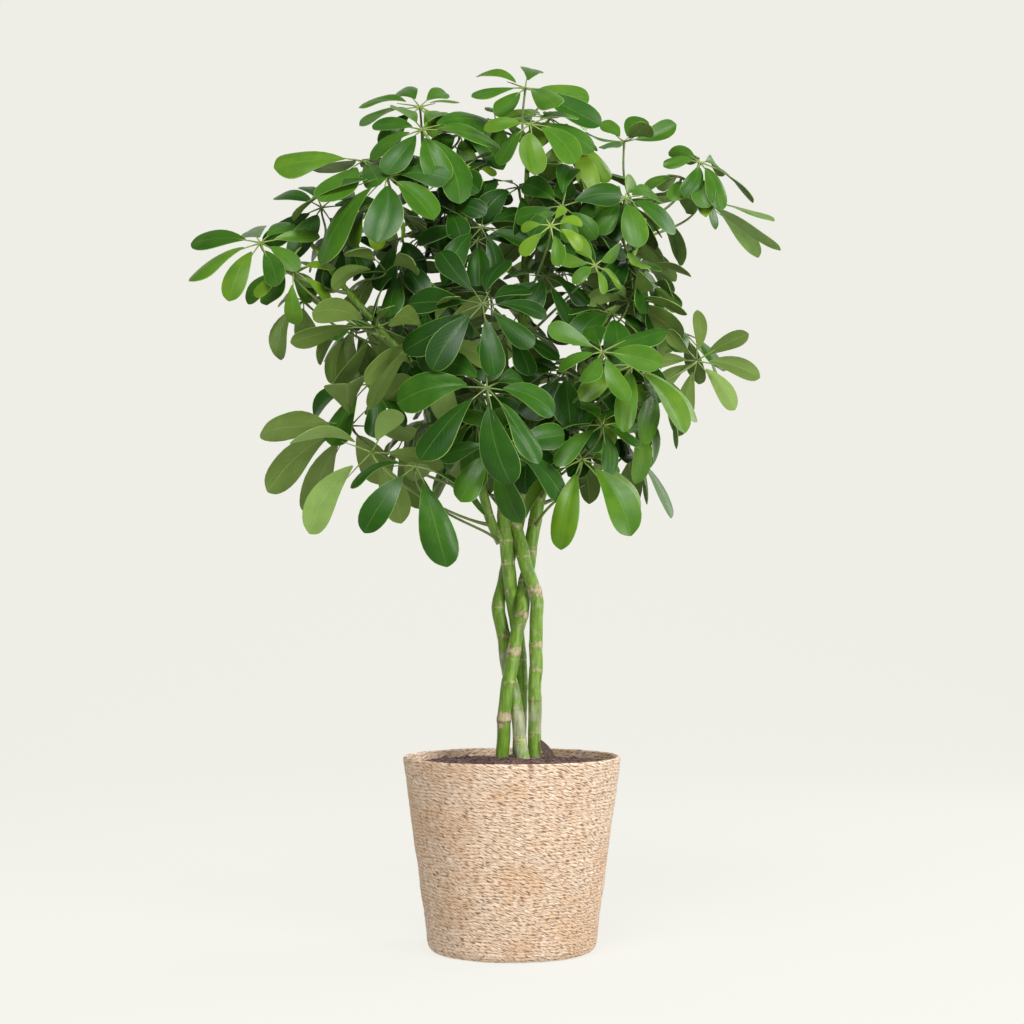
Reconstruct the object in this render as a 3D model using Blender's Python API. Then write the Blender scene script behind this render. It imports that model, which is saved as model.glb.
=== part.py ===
"""A potted umbrella plant: a woven basket, its liner, the soil, four braided stems and the leaves.

Metres, +Z up, the front along -Y. The origin is on the floor, under the middle of the basket.
Tables and outlines are in millimetres and are turned into metres when a mesh is made.
"""
import math
from collections import namedtuple

import bmesh
import bpy
from mathutils import Vector
from mathutils.bvhtree import BVHTree

MM = 0.001
GAP = 0.35                  # clear space between two pieces that touch in life
SHARP_ANGLE = 35.0          # edges folded more than this stay crisp

# Basket: a tapered cup of coiled rope with a flat bottom and a round rim.
BASKET_HEIGHT = 173.0
BASKET_WALL = 4.0
BASKET_FLOOR = 5.0
BASKET_BASE_RADIUS = 75.5
BASKET_RIM_RADIUS = 97.5
BASKET_CORNER = 8.0
BASKET_SEGMENTS = 48
BASKET_ROWS = (0.35, 0.7)   # extra rows up the outer wall, as shares of its height
BASKET_INNER_ROWS = (60.0, 12.0)
FLOOR_INSET = 9.0           # inner floor's radius is less than the base radius by this

# Liner and soil: the liner ends below the soil, and the soil's lip covers its edge.
LINER_WALL = 1.2
LINER_TOP = 156.0
LINER_INSET = 4.95          # from the basket's outer wall line in to the liner's outer wall
LINER_FLOOR_INSET = 11.35
LINER_LOW = 14.0            # height of the liner's bottom corner
SOIL_INSET = 6.9            # from the basket's outer wall line in to the soil inside the liner
SOIL_FLOOR_INSET = 13.75
SOIL_LIP_INSET = 4.6        # the same for the soil's lip over the liner
SOIL_EDGE = 165.5
SOIL_DOME = 3.5
SOIL_LUMP = 1.1
SOIL_MOUND = 2.5            # soil heaped against the stems
SOIL_MOUND_REACH = 0.3
SOIL_SEGMENTS = 36
SOIL_RINGS = (0.94, 0.78, 0.6, 0.42, 0.27)
SOCKET_TOP = 205.5

# Bark chip: a flat shard that stands on the soil, its centre line from foot to tip.
CHIP_FOOT = (36.0, -6.0, 168.0)
CHIP_TIP = (25.5, -7.5, 183.0)
CHIP_WIDTHS = (2.6, 3.4, 2.7, 0.9)
CHIP_THIN = 0.42            # its thickness as a share of its width
CHIP_SIDES = 5

# Stems: round tubes, planted in the soil and wound around each other.
STEM_SIDES = 8
STEM_RADIUS = 6.1
STEM_FOOT = 112.0
BRAID_TOP = 436.0
BRAID_STEP = 18.0
BRAID_CLEAR = 13.7          # centre to centre, measured level
BRAID_ROUNDS = 60
BRAID_FIXED = 3             # levels at the foot that keep their place
BRAID_EASE = 0.25
CROWN_OVERLAP = 6           # braid levels that may also carry leaves

# Leaves: leaflets fanned around a small hub, on a long stalk.
BLADE = 0.8                 # thickness of a leaflet
HUB_RADIUS = 3.6
NECK_HALF = 1.2             # half the width of a leaflet's own short stalk
NECK_END = 0.15             # where the blade starts, as a share of the leaflet
WIDEST = 0.56
TIP_SHARE = 0.52            # tip width as a share of the widest
WIDTH_SHARE = 0.46          # widest as a share of the length
SHORTEST = 0.34             # how much shorter the leaflets away from the leading side are
STALK_FOOT_RADIUS = 1.7
STALK_TOP_RADIUS = 1.3
CURVE_STEPS = 12
WEIGHT = 0.22               # how far a leaflet sags under its own weight
ALTERNATE = 5.0             # degrees between the planes of neighbouring leaflets
HUB_DROP = 3.0              # from the hub down to the stalk's top ring
DROOP_START = 0.35          # share of the droop that a leaflet has at the hub
DROOP_GROWTH = 0.9
SLICE_SHARE = 1.05          # a leaflet's widest part as a share of its slice of the fan
STALK_ROWS = (1.0, 0.72, 0.48, 0.24, 0.0)
STALK_OUT = 0.35            # how far a stalk leaves the stem before it bends, as a share
STALK_RISE = 0.08
STALK_IN = 0.3
CLEAR_GROW = 0.45           # how much a leaf is thickened when it looks for a free place
STEM_GROW = 0.3

Leaf = namedtuple("Leaf", "stem hub azimuth elevation length count droop turn lead")

# Hand-placed centre lines of the stems, from the foot up: x, y, z.
BRAID = {
    "stem_1": [(6, 13, 112), (6, 13, 168), (9, 12, 204), (11, 10, 231), (13, 8, 253), (11, 8, 276),
               (6, 9, 294), (0, 5, 312), (-5, -5, 328), (-7, -8, 345), (-10, -8, 366), (-8, -8, 390),
               (-6, -8, 409)],
    "stem_2": [(20, 2, 112), (20, 2, 168), (19, -1, 204), (19, -3, 231), (21, -6, 253), (24, -5, 276),
               (23, -4, 294), (22, -4, 312), (18, -6, 330), (12, -7, 345), (7, -3, 360), (1, 4, 375),
               (-4, 12, 410), (-12, 22, 440)],
    "stem_3": [(-9, -4, 112), (-9, -4, 168), (-8, -6, 204), (-5, -9, 222), (-2, -11, 240), (1, -11, 256),
               (5, -9, 276), (5, -9, 300), (6, -7, 314), (9, 3, 328), (14, 8, 342), (16, 9, 360),
               (16, 8, 375), (24, 13, 415), (31, 20, 440)],
    "stem_4": [(10, -13, 112), (10, -13, 168), (8, -10, 204), (5, -1, 222), (0, 4, 240), (-5, 3, 256),
               (-9, 2, 276), (-11, 0, 294), (-13, 0, 312), (-12, 5, 328), (-8, 9, 345), (0, 15, 360),
               (6, 19, 375), (9, 15, 400), (12, 6, 440)],
}
# The same stems above the braid, with a radius at each point.
CROWN = {
    "stem_1": [(-10, -8, 364, 4.6), (-20, -12, 386, 4.5), (-30, -17, 420, 4.3), (-58, -28, 480, 3.9),
               (-105, -32, 540, 3.3), (-150, -20, 592, 2.7), (-180, -6, 632, 2.1)],
    "stem_2": [(-22, 34, 472, 4.9), (-45, 54, 550, 4.0), (-68, 50, 635, 3.0), (-82, 38, 705, 2.1)],
    "stem_3": [(50, 34, 490, 4.9), (82, 44, 560, 4.0), (108, 38, 620, 3.1), (124, 30, 668, 2.1)],
    "stem_4": [(11, 0, 500, 5.4), (10, -2, 560, 5.0), (12, -4, 610, 4.2), (13, -4, 665, 3.0),
               (14, -4, 728, 2.1)],
}

# Leaves placed by hand: stem, hub, where the upper side faces (azimuth from +X, elevation),
# longest leaflet, number of leaflets, droop, the turn of the first leaflet from straight downhill,
# and the turn at which the leaflets are longest.
PLACED = [
    Leaf("stem_4", (12, -10, 774), -85, 50, 68, 7, 0, 18, 100),
    Leaf("stem_2", (-80, -30, 732), -92, 44, 82, 9, 6, 12, 90),
    Leaf("stem_2", (-110, -50, 686), -100, 46, 96, 8, 18, 0, -75),
    Leaf("stem_1", (-225, -20, 632), -100, 50, 74, 8, 8, 20, -90),
    Leaf("stem_3", (102, 10, 730), -90, 62, 54, 6, -34, 30, 60),
    Leaf("stem_3", (100, -40, 669), -85, 35, 56, 7, 16, 10, 20),
    Leaf("stem_3", (172, 20, 712), -60, 46, 58, 7, 24, 10, 50),
    Leaf("stem_3", (176, 54, 684), -20, 72, 88, 7, 10, 15, 60),
    Leaf("stem_4", (44, -56, 657), -90, 20, 62, 7, 8, 10, 180),
    Leaf("stem_4", (16, -34, 732), -90, 40, 64, 8, 20, 0, 60),
    Leaf("stem_3", (60, -24, 728), -75, 42, 58, 7, 28, 0, 20),
    Leaf("stem_4", (-27, -50, 641), -80, 32, 68, 7, 6, 15, -110),
    Leaf("stem_4", (-25, -120, 564), -90, 30, 84, 9, 8, 10, -90),
    Leaf("stem_4", (33, -112, 632), -90, 25, 40, 7, 22, 0, 0),
    Leaf("stem_1", (-194, -30, 604), -90, 25, 48, 6, 30, 0, 30),
    Leaf("stem_1", (-118, -60, 550), 110, 58, 82, 7, 14, 0, 80),
    Leaf("stem_1", (-190, 0, 585), 150, 45, 60, 7, 30, 0, 20),
    Leaf("stem_1", (-175, 34, 673), -80, 28, 76, 7, 20, 10, 10),
    Leaf("stem_1", (-144, -20, 468), 125, 45, 98, 7, 8, 0, 80),
    Leaf("stem_1", (-122, -70, 441), 105, 34, 82, 5, 14, 52, 40),
    Leaf("stem_4", (-70, -82, 527), 115, 42, 88, 7, 22, 12, 35),
    Leaf("stem_1", (-82, -106, 426), -75, 58, 94, 5, 46, 18, 18),
    Leaf("stem_4", (-21, -140, 491), -90, 36, 88, 8, 24, 0, -30),
    Leaf("stem_4", (-4, -136, 431), -90, 28, 76, 7, 12, 26, 30),
    Leaf("stem_3", (165, -20, 526), 80, 16, 62, 8, 4, 10, -50),
    Leaf("stem_4", (76, -124, 523), -90, 35, 64, 7, 4, 25, 140),
    Leaf("stem_3", (96, -78, 515), -62, 42, 80, 8, 24, 15, 60),
    Leaf("stem_3", (78, -108, 464), -90, 42, 62, 7, 22, 0, -100),
    Leaf("stem_3", (60, -88, 434), -90, 52, 88, 7, 38, 8, 0),
    Leaf("stem_3", (102, -38, 490), -35, 52, 80, 7, 40, 0, 20),
    Leaf("stem_1", (-44, -60, 462), -100, 60, 66, 6, 50, 0, 0),
    Leaf("stem_4", (72, -80, 610), -70, 25, 46, 6, 10, 0, 180),
    Leaf("stem_3", (104, -30, 578), 80, 50, 66, 7, 14, 0, -80),
    Leaf("stem_3", (119, 66, 626), 30, 78, 58, 7, 14, 0, -90),
    Leaf("stem_2", (-41, -20, 699), -90, 45, 34, 7, 4, 0, 180),
    Leaf("stem_1", (-127, -20, 606), 80, 60, 88, 7, 24, 0, -80),
]
# More leaves fill the back of the crown, spread by the golden angle.
FILL_COUNT = 15
FILL_LOW = 440.0
FILL_HIGH = 715.0
FILL_REACH = 130.0
FILL_START = 8.0            # azimuth of the first one, and the sector they stay in
FILL_SECTOR = 164.0
FILL_DEPTH = 20.0
FILL_ELEVATION = 48.0
FILL_RISE = 12.0
FILL_LENGTH = 78.0
FILL_TAPER = 10.0
FILL_DROOP = 32.0
GOLDEN_ANGLE = 137.508

# A stalk leaves its stem below the hub, lower where the hub is farther out.
FOOT_BELOW = 12.0
FOOT_SLOPE = 0.42
FOOT_REACH = 150.0
FOOT_LOOK = 40.0
STEM_END = 4.0              # stalks keep this far from a stem's ends

# Small changes a leaf may try, in this order, until it clears what is already there.
TRY_TURNS = (0, 12, -12, 24)
TRY_FEET = (0, -16, 16, -34)
TRY_DEPTHS = (0, -9, 9, -18, 18, -28, 28, -40, 40)
TRY_SIDES = (0, -7, 7, -14, 14)
TRY_WIDTHS = (1.0, 0.9, 0.8)
TRY_LENGTHS = (1.0, 0.88, 0.76)

COLOURS = {
    "rope": ((0.60, 0.42, 0.26, 1.0), 0.85),
    "liner": ((0.03, 0.03, 0.03, 1.0), 0.5),
    "soil": ((0.09, 0.055, 0.045, 1.0), 0.95),
    "bark": ((0.28, 0.30, 0.14, 1.0), 0.7),
    "chip": ((0.13, 0.075, 0.055, 1.0), 0.85),
    "leaf": ((0.05, 0.16, 0.03, 1.0), 0.35),
}


# ---- small helpers -------------------------------------------------------------------------
def clear_scene():
    """Remove every object that the file starts with."""
    for obj in list(bpy.data.objects):
        bpy.data.objects.remove(obj, do_unlink=True)


def material(name, look):
    """One Principled material with the piece's plain colour and roughness."""
    colour, roughness = COLOURS[look]
    mat = bpy.data.materials.new(name)
    mat.use_nodes = True
    shader = mat.node_tree.nodes["Principled BSDF"]
    shader.inputs["Base Color"].default_value = colour
    shader.inputs["Roughness"].default_value = roughness
    return mat


def solid_object(name, solid, look, smooth=True):
    """Turn points in millimetres and their faces into an object in metres."""
    points, faces = solid
    bm = bmesh.new()
    verts = [bm.verts.new(Vector(point) * MM) for point in points]
    for face in faces:
        bm.faces.new([verts[index] for index in face])
    bmesh.ops.recalc_face_normals(bm, faces=bm.faces)
    mesh = bpy.data.meshes.new(name)
    bm.to_mesh(mesh)
    bm.free()
    if smooth:
        mesh.shade_smooth()
        mesh.set_sharp_from_angle(angle=math.radians(SHARP_ANGLE))
    mesh.materials.append(material(name, look))
    obj = bpy.data.objects.new(name, mesh)
    bpy.context.scene.collection.objects.link(obj)
    return obj


def loft(rings):
    """Join rings of equal count into one closed solid, with a flat cap at each end."""
    count = len(rings[0])
    points = [point for ring in rings for point in ring]
    faces = [tuple(range(count))]
    for level in range(len(rings) - 1):
        low = level * count
        for side in range(count):
            step = (side + 1) % count
            faces.append((low + side, low + step, low + count + step, low + count + side))
    last = (len(rings) - 1) * count
    faces.append(tuple(last + side for side in range(count)))
    return points, faces


def circle(radius, height, segments):
    """Points of a level circle around Z."""
    turn = 2 * math.pi / segments
    return [Vector((radius * math.cos(turn * i), radius * math.sin(turn * i), height)) for i in range(segments)]


def around(centre, normal, radius, sides, hint):
    """Points of a circle around a centre, square to a normal, starting towards a hint."""
    first = (hint - normal * hint.dot(normal)).normalized()
    second = normal.cross(first)
    turn = 2 * math.pi / sides
    return [centre + (first * math.cos(turn * i) + second * math.sin(turn * i)) * radius for i in range(sides)]


def facing(azimuth, elevation):
    """Unit vector for an azimuth from +X and an elevation, both in degrees."""
    level = math.cos(math.radians(elevation))
    turn = math.radians(azimuth)
    return Vector((level * math.cos(turn), level * math.sin(turn), math.sin(math.radians(elevation))))


def apply_boolean(target, cutter, operation):
    """Cut or join with a helper object, keep the result, and remove the helper."""
    modifier = target.modifiers.new(operation.lower(), "BOOLEAN")
    modifier.object = cutter
    modifier.operation = operation
    modifier.solver = "EXACT"
    bpy.context.view_layer.update()
    graph = bpy.context.evaluated_depsgraph_get()
    result = bpy.data.meshes.new_from_object(target.evaluated_get(graph))
    target.modifiers.remove(modifier)
    target.data = result
    bpy.data.objects.remove(cutter, do_unlink=True)


# ---- basket, liner and soil ----------------------------------------------------------------
def wall_radius(height, inset=0.0):
    """Radius of the basket's sloping outer wall at a height, less an inset."""
    share = (height - BASKET_CORNER) / (BASKET_HEIGHT - BASKET_CORNER)
    return BASKET_BASE_RADIUS + (BASKET_RIM_RADIUS - BASKET_BASE_RADIUS) * share - inset


def basket_profile():
    """Radius and height down the outside, over the rim and down the inside."""
    corner_centre = BASKET_BASE_RADIUS - BASKET_CORNER
    outline = []
    for degrees in (0, 30, 60, 90):
        turn = math.radians(degrees)
        outline.append((corner_centre + BASKET_CORNER * math.sin(turn),
                        BASKET_CORNER * (1 - math.cos(turn))))
    for share in BASKET_ROWS:
        height = BASKET_CORNER + (BASKET_HEIGHT - BASKET_CORNER) * share
        outline.append((wall_radius(height), height))
    half = BASKET_WALL / 2
    rim_height = BASKET_HEIGHT - half
    for degrees in (0, 45, 90, 135, 180):
        turn = math.radians(degrees)
        outline.append((wall_radius(rim_height, half) + half * math.cos(turn), rim_height + half * math.sin(turn)))
    for height in BASKET_INNER_ROWS:
        outline.append((wall_radius(height, BASKET_WALL), height))
    outline.append((BASKET_BASE_RADIUS - FLOOR_INSET, BASKET_FLOOR))
    return outline


def make_basket():
    """The basket as one turned cup."""
    rings = [circle(radius, height, BASKET_SEGMENTS) for radius, height in basket_profile()]
    return solid_object("woven_basket", loft(rings), "rope")


def liner_profile():
    """Radius and height of the liner: outside, edge and inside."""
    floor = BASKET_FLOOR + GAP
    inner = LINER_INSET + LINER_WALL
    return [
        (BASKET_BASE_RADIUS - LINER_FLOOR_INSET, floor),
        (wall_radius(LINER_LOW, LINER_INSET), LINER_LOW),
        (wall_radius(LINER_TOP, LINER_INSET), LINER_TOP),
        (wall_radius(LINER_TOP, inner), LINER_TOP),
        (wall_radius(LINER_LOW, inner), LINER_LOW + LINER_WALL),
        (BASKET_BASE_RADIUS - LINER_FLOOR_INSET - LINER_WALL, floor + LINER_WALL),
    ]


def make_liner():
    """A thin plastic cup inside the basket, out of sight under the soil."""
    rings = [circle(radius, height, BASKET_SEGMENTS) for radius, height in liner_profile()]
    return solid_object("pot_liner", loft(rings), "liner")


def soil_height(share, turn):
    """Height of the soil's lumpy top at a share of its radius and an angle."""
    lump = math.sin(5 * turn + 7 * share) + 0.6 * math.sin(9 * turn - 11 * share) + 0.5 * math.sin(2 * turn)
    mound = SOIL_MOUND * math.exp(-(share / SOIL_MOUND_REACH) ** 2)
    return SOIL_EDGE + SOIL_DOME * (1 - share ** 2) + mound + SOIL_LUMP * lump * min(1.0, 1.6 * (1.02 - share))


def soil_rings():
    """Rings of the soil: up inside the liner, over its edge, and in across the top."""
    floor = BASKET_FLOOR + GAP + LINER_WALL + GAP
    low = LINER_LOW + LINER_WALL + GAP
    lip = LINER_TOP + GAP
    outer = wall_radius(SOIL_EDGE, SOIL_LIP_INSET)
    rings = [
        circle(BASKET_BASE_RADIUS - SOIL_FLOOR_INSET, floor, SOIL_SEGMENTS),
        circle(wall_radius(low, SOIL_INSET), low, SOIL_SEGMENTS),
        circle(wall_radius(lip, SOIL_INSET), lip, SOIL_SEGMENTS),
        circle(wall_radius(lip, SOIL_LIP_INSET), lip, SOIL_SEGMENTS),
        circle(outer, SOIL_EDGE, SOIL_SEGMENTS),
    ]
    for share in SOIL_RINGS:
        ring = circle(outer * share, 0.0, SOIL_SEGMENTS)
        for index, point in enumerate(ring):
            point.z = soil_height(share, 2 * math.pi * index / SOIL_SEGMENTS)
        rings.append(ring)
    return rings


def make_soil(stems):
    """The soil, with a socket around each planted stem."""
    soil = solid_object("soil", loft(soil_rings()), "soil")
    for name, centres in stems.items():
        rows = [point for point in centres if point.z < SOCKET_TOP]
        foot = rows[0] - Vector((0, 0, GAP))
        rings = tube_rings([foot] + rows, [STEM_RADIUS + GAP] * (len(rows) + 1))
        socket = solid_object(name + "_socket", loft(rings), "soil")
        apply_boolean(soil, socket, "DIFFERENCE")
    return soil


def chip_rings():
    """Rings of the bark chip, from its foot to its pointed tip."""
    foot = Vector(CHIP_FOOT)
    tip = Vector(CHIP_TIP)
    along = (tip - foot).normalized()
    wide = along.cross(Vector((0, 1, 0))).normalized()
    deep = along.cross(wide)
    rings = []
    for index, width in enumerate(CHIP_WIDTHS):
        centre = foot.lerp(tip, index / (len(CHIP_WIDTHS) - 1))
        ring = []
        for side in range(CHIP_SIDES):
            turn = 2 * math.pi * side / CHIP_SIDES
            ring.append(centre + wide * width * math.cos(turn) + deep * width * CHIP_THIN * math.sin(turn))
        rings.append(ring)
    return rings


def make_chip(soil):
    """A chip of bark, lowered or raised until it just clears the soil."""
    rings = chip_rings()
    down = Vector((0, 0, -1))
    drops = []
    for point in [point for ring in rings for point in ring]:
        above = Vector((point.x, point.y, 2 * BASKET_HEIGHT)) * MM
        hit = soil.ray_cast(above, down)[1]
        drops.append(point.z - hit.z / MM)
    move = Vector((0, 0, GAP - min(drops)))
    return solid_object("bark_chip", loft([[point + move for point in ring] for ring in rings]), "chip")


# ---- stems ---------------------------------------------------------------------------------
def at_height(points, height):
    """Point of a hand-placed line at a height, by straight steps between its points."""
    for low, high in zip(points, points[1:]):
        if low[2] <= height <= high[2]:
            share = (height - low[2]) / (high[2] - low[2])
            return Vector(low[:3]).lerp(Vector(high[:3]), share)
    return Vector(points[-1][:3])


def push_apart(level):
    """Move the stems of one level sideways until none is closer than the clear distance."""
    names = sorted(level)
    for i, first in enumerate(names):
        for second in names[i + 1:]:
            apart = level[first] - level[second]
            missing = BRAID_CLEAR - apart.length
            if missing > 0:
                push = apart.normalized() * missing / 2
                level[first] += push
                level[second] -= push


def smooth_lines(levels, names):
    """Ease each stem between its neighbours above and below."""
    for name in names:
        for low, here, high in zip(levels, levels[1:], levels[2:]):
            if name in low and name in here and name in high:
                middle = (low[name] + high[name]) / 2
                middle.z = here[name].z
                here[name] = here[name].lerp(middle, BRAID_EASE)


def braid_centres():
    """Centre lines of the wound stems, level by level, with room between them."""
    heights = []
    height = STEM_FOOT
    while height <= BRAID_TOP + 0.1:
        heights.append(height)
        height += BRAID_STEP
    levels = []
    for height in heights:
        levels.append({name: at_height(line, height) for name, line in BRAID.items() if height <= line[-1][2]})
    for _ in range(BRAID_ROUNDS):
        smooth_lines(levels[BRAID_FIXED:], BRAID)
        for level in levels:
            push_apart(level)
    for _ in range(BRAID_ROUNDS):
        for level in levels:
            push_apart(level)
    return {name: [level[name] for level in levels if name in level] for name in BRAID}


def tube_rings(centres, radii, sides=STEM_SIDES):
    """Rings along a line, each square to the line's direction there."""
    rings = []
    for index, centre in enumerate(centres):
        before = centres[max(index - 1, 0)]
        after = centres[min(index + 1, len(centres) - 1)]
        rings.append(around(centre, (after - before).normalized(), radii[index], sides, Vector((1, 0, 0))))
    return rings


def crown_line(name, trunk):
    """Centres and radii of the part of a stem that carries leaves."""
    points = [Vector(point[:3]) for point in CROWN[name]]
    radii = [point[3] for point in CROWN[name]]
    if name != "stem_1":
        points = trunk[-CROWN_OVERLAP:] + points
        radii = [STEM_RADIUS] * CROWN_OVERLAP + radii
    return points, radii


def stem_solid(name, trunk, grow=0.0):
    """Trunk and crown of a stem as one tube; the first stem's trunk ends in a cut stub."""
    points = list(trunk)
    radii = [STEM_RADIUS + grow] * len(trunk)
    if name != "stem_1":
        points += [Vector(point[:3]) for point in CROWN[name]]
        radii += [point[3] + grow for point in CROWN[name]]
    return loft(tube_rings(points, radii))


def shoot_solid(grow=0.0):
    """The leafy shoot that leaves the first stem below its cut end."""
    points = [Vector(point[:3]) for point in CROWN["stem_1"]]
    radii = [point[3] + grow for point in CROWN["stem_1"]]
    return loft(tube_rings(points, radii))


def make_stems(trunks):
    """Each stem as one closed solid."""
    for name, trunk in trunks.items():
        stem = solid_object(name, stem_solid(name, trunk), "bark")
        if name == "stem_1":
            shoot = solid_object("shoot_part", shoot_solid(), "bark")
            apply_boolean(stem, shoot, "UNION")


# ---- leaves --------------------------------------------------------------------------------
def leaf_axes(leaf):
    """The leaf's upward axis, its downhill direction and the direction across."""
    axis = facing(leaf.azimuth, leaf.elevation)
    downhill = Vector((0, 0, -1)) + axis * axis.z
    if downhill.length < 0.05:
        downhill = facing(leaf.azimuth, 0)
    downhill.normalize()
    return axis, downhill, axis.cross(downhill)


def leaflet_angle(leaf, index):
    """Angle of a leaflet around the hub, from straight downhill, in degrees."""
    return leaf.turn + 360.0 * index / leaf.count


def leaflet_length(leaf, angle):
    """Leaflets are longest at the leaf's leading side and shorter towards the other."""
    return leaf.length * (1 - SHORTEST * (1 - math.cos(math.radians(angle - leaf.lead))) / 2)


def leaflet_curve(leaf, index):
    """Points, directions and widthways vectors along a leaflet's sagging middle line."""
    axis, downhill, across = leaf_axes(leaf)
    angle = leaflet_angle(leaf, index)
    turn = math.radians(angle)
    outward = downhill * math.cos(turn) + across * math.sin(turn)
    sideways = axis.cross(outward)
    length = leaflet_length(leaf, angle)
    lift = ALTERNATE * (0.5 if index % 2 else -0.5)
    point = Vector(leaf.hub) + outward * HUB_RADIUS
    rows = []
    for step in range(CURVE_STEPS + 1):
        share = step / CURVE_STEPS
        tilt = math.radians(leaf.droop * (DROOP_START + DROOP_GROWTH * share) + lift)
        along = outward * math.cos(tilt) - axis * math.sin(tilt)
        along.z -= WEIGHT * share
        along.normalize()
        wide = (sideways - along * sideways.dot(along)).normalized()
        rows.append((point.copy(), along, wide))
        point += along * (length - HUB_RADIUS) / CURVE_STEPS
    return rows


def leaflet_width(leaf, index, width):
    """Widest part of a leaflet, kept inside its own slice of the fan."""
    length = leaflet_length(leaf, leaflet_angle(leaf, index))
    rows = leaflet_curve(leaf, index)
    axis = leaf_axes(leaf)[0]
    reach = rows[round(WIDEST * CURVE_STEPS)][0] - Vector(leaf.hub)
    level = (reach - axis * reach.dot(axis)).length
    slice_width = 2 * level * math.tan(math.pi / leaf.count)
    return width * min(WIDTH_SHARE * length, SLICE_SHARE * slice_width)


def leaflet_rows(leaf, index, width, grow):
    """Left and right points of a leaflet's top and underside, row by row."""
    curve = leaflet_curve(leaf, index)
    widest = leaflet_width(leaf, index, width)
    rows = []
    for share, half in ((NECK_END, NECK_HALF), (WIDEST, widest / 2), (1.0, widest * TIP_SHARE / 2)):
        point, along, wide = curve[round(share * CURVE_STEPS)]
        normal = along.cross(wide)
        if share == 1.0:
            point = point + along * grow
        side = wide * (half + grow)
        lift = normal * (BLADE / 2 + grow)
        rows.append((point - side + lift, point + side + lift, point - side - lift, point + side - lift))
    return rows


def hub_corners(leaf, grow):
    """Corners of the hub plate, halfway between neighbouring leaflets: top and underside."""
    axis, downhill, across = leaf_axes(leaf)
    top = []
    under = []
    for index in range(leaf.count):
        turn = math.radians(leaflet_angle(leaf, index) - 180.0 / leaf.count)
        outward = downhill * math.cos(turn) + across * math.sin(turn)
        corner = Vector(leaf.hub) + outward * (HUB_RADIUS / math.cos(math.pi / leaf.count) + grow)
        top.append(corner + axis * (BLADE / 2 + grow))
        under.append(corner - axis * (BLADE / 2 + grow))
    return top, under


def add_leaflet(points, faces, base, rows):
    """Sew one leaflet's strip of top, underside and edges onto four corners of the hub."""
    previous = base
    for row in rows:
        start = len(points)
        points.extend(row)
        current = (start, start + 1, start + 2, start + 3)
        left_top, right_top, left_under, right_under = previous
        new_left_top, new_right_top, new_left_under, new_right_under = current
        faces.append((left_top, right_top, new_right_top))
        faces.append((left_top, new_right_top, new_left_top))
        faces.append((left_under, new_right_under, right_under))
        faces.append((left_under, new_left_under, new_right_under))
        faces.append((left_top, new_left_top, new_left_under, left_under))
        faces.append((right_top, right_under, new_right_under, new_right_top))
        previous = current
    left_top, right_top, left_under, right_under = previous
    faces.append((left_top, right_top, right_under, left_under))


def stalk_rings(leaf, foot, outward, grow):
    """Rings of the stalk from its foot on the stem up to just below the hub."""
    axis, downhill, across = leaf_axes(leaf)
    end = Vector(leaf.hub) - axis * HUB_DROP
    reach = (end - foot).length
    first = foot + outward * reach * STALK_OUT + Vector((0, 0, reach * STALK_RISE))
    second = end - axis * reach * STALK_IN
    rings = []
    hint = downhill * math.cos(math.radians(leaf.turn)) + across * math.sin(math.radians(leaf.turn))
    for share in STALK_ROWS:
        rest = 1 - share
        centre = (foot * rest ** 3 + first * 3 * rest ** 2 * share
                  + second * 3 * rest * share ** 2 + end * share ** 3)
        along = ((first - foot) * rest ** 2 + (second - first) * 2 * rest * share
                 + (end - second) * share ** 2).normalized()
        if share == 0.0:
            along = outward
        radius = STALK_TOP_RADIUS + (STALK_FOOT_RADIUS - STALK_TOP_RADIUS) * rest + grow
        offset = math.radians(-180.0 / leaf.count)
        start = around(centre, along, 1.0, 4, hint)
        spin = (start[0] - centre) * math.cos(offset) + (start[1] - centre) * math.sin(offset)
        rings.append(around(centre, along, radius, leaf.count, spin))
        hint = start[0] - centre
    return rings


def leaf_solid(leaf, foot, outward, width, grow=0.0):
    """The whole leaf as one closed solid: hub, leaflets and stalk."""
    points, under = hub_corners(leaf, grow)
    count = leaf.count
    points = points + under
    faces = [tuple(range(count))]
    for index in range(count):
        step = (index + 1) % count
        base = (index, step, count + index, count + step)
        add_leaflet(points, faces, base, leaflet_rows(leaf, index, width, grow))
    previous = list(range(count, 2 * count))
    for ring in stalk_rings(leaf, foot, outward, grow):
        start = len(points)
        points.extend(ring)
        current = list(range(start, start + count))
        for side in range(count):
            step = (side + 1) % count
            faces.append((previous[side], current[side], current[step], previous[step]))
        previous = current
    faces.append(tuple(previous))
    return points, faces


# ---- finding each leaf a clear place -------------------------------------------------------
def tree(solid):
    """Search tree of a solid's faces."""
    points, faces = solid
    return BVHTree.FromPolygons([tuple(point) for point in points], faces)


def box_of(solid):
    """Lowest and highest corner of a solid."""
    points = solid[0]
    low = Vector([min(point[i] for point in points) for i in range(3)])
    high = Vector([max(point[i] for point in points) for i in range(3)])
    return low, high


def boxes_meet(first, second):
    """Whether two boxes share any space."""
    return all(first[0][i] <= second[1][i] and second[0][i] <= first[1][i] for i in range(3))


def strip(leaf, index, width, grow, rooted=True):
    """One leaflet alone, for the search: from the hub's middle, or from the neck, to its tip."""
    rows = leaflet_rows(leaf, index, width, grow)
    rings = [(row[0], row[1], row[3], row[2]) for row in rows]
    if rooted:
        along, wide = leaflet_curve(leaf, index)[0][1:]
        lift = along.cross(wide) * (BLADE / 2 + grow)
        side = wide * (NECK_HALF + grow)
        centre = Vector(leaf.hub)
        rings.insert(0, (centre - side + lift, centre + side + lift, centre + side - lift, centre - side - lift))
    return loft(rings)


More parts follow.
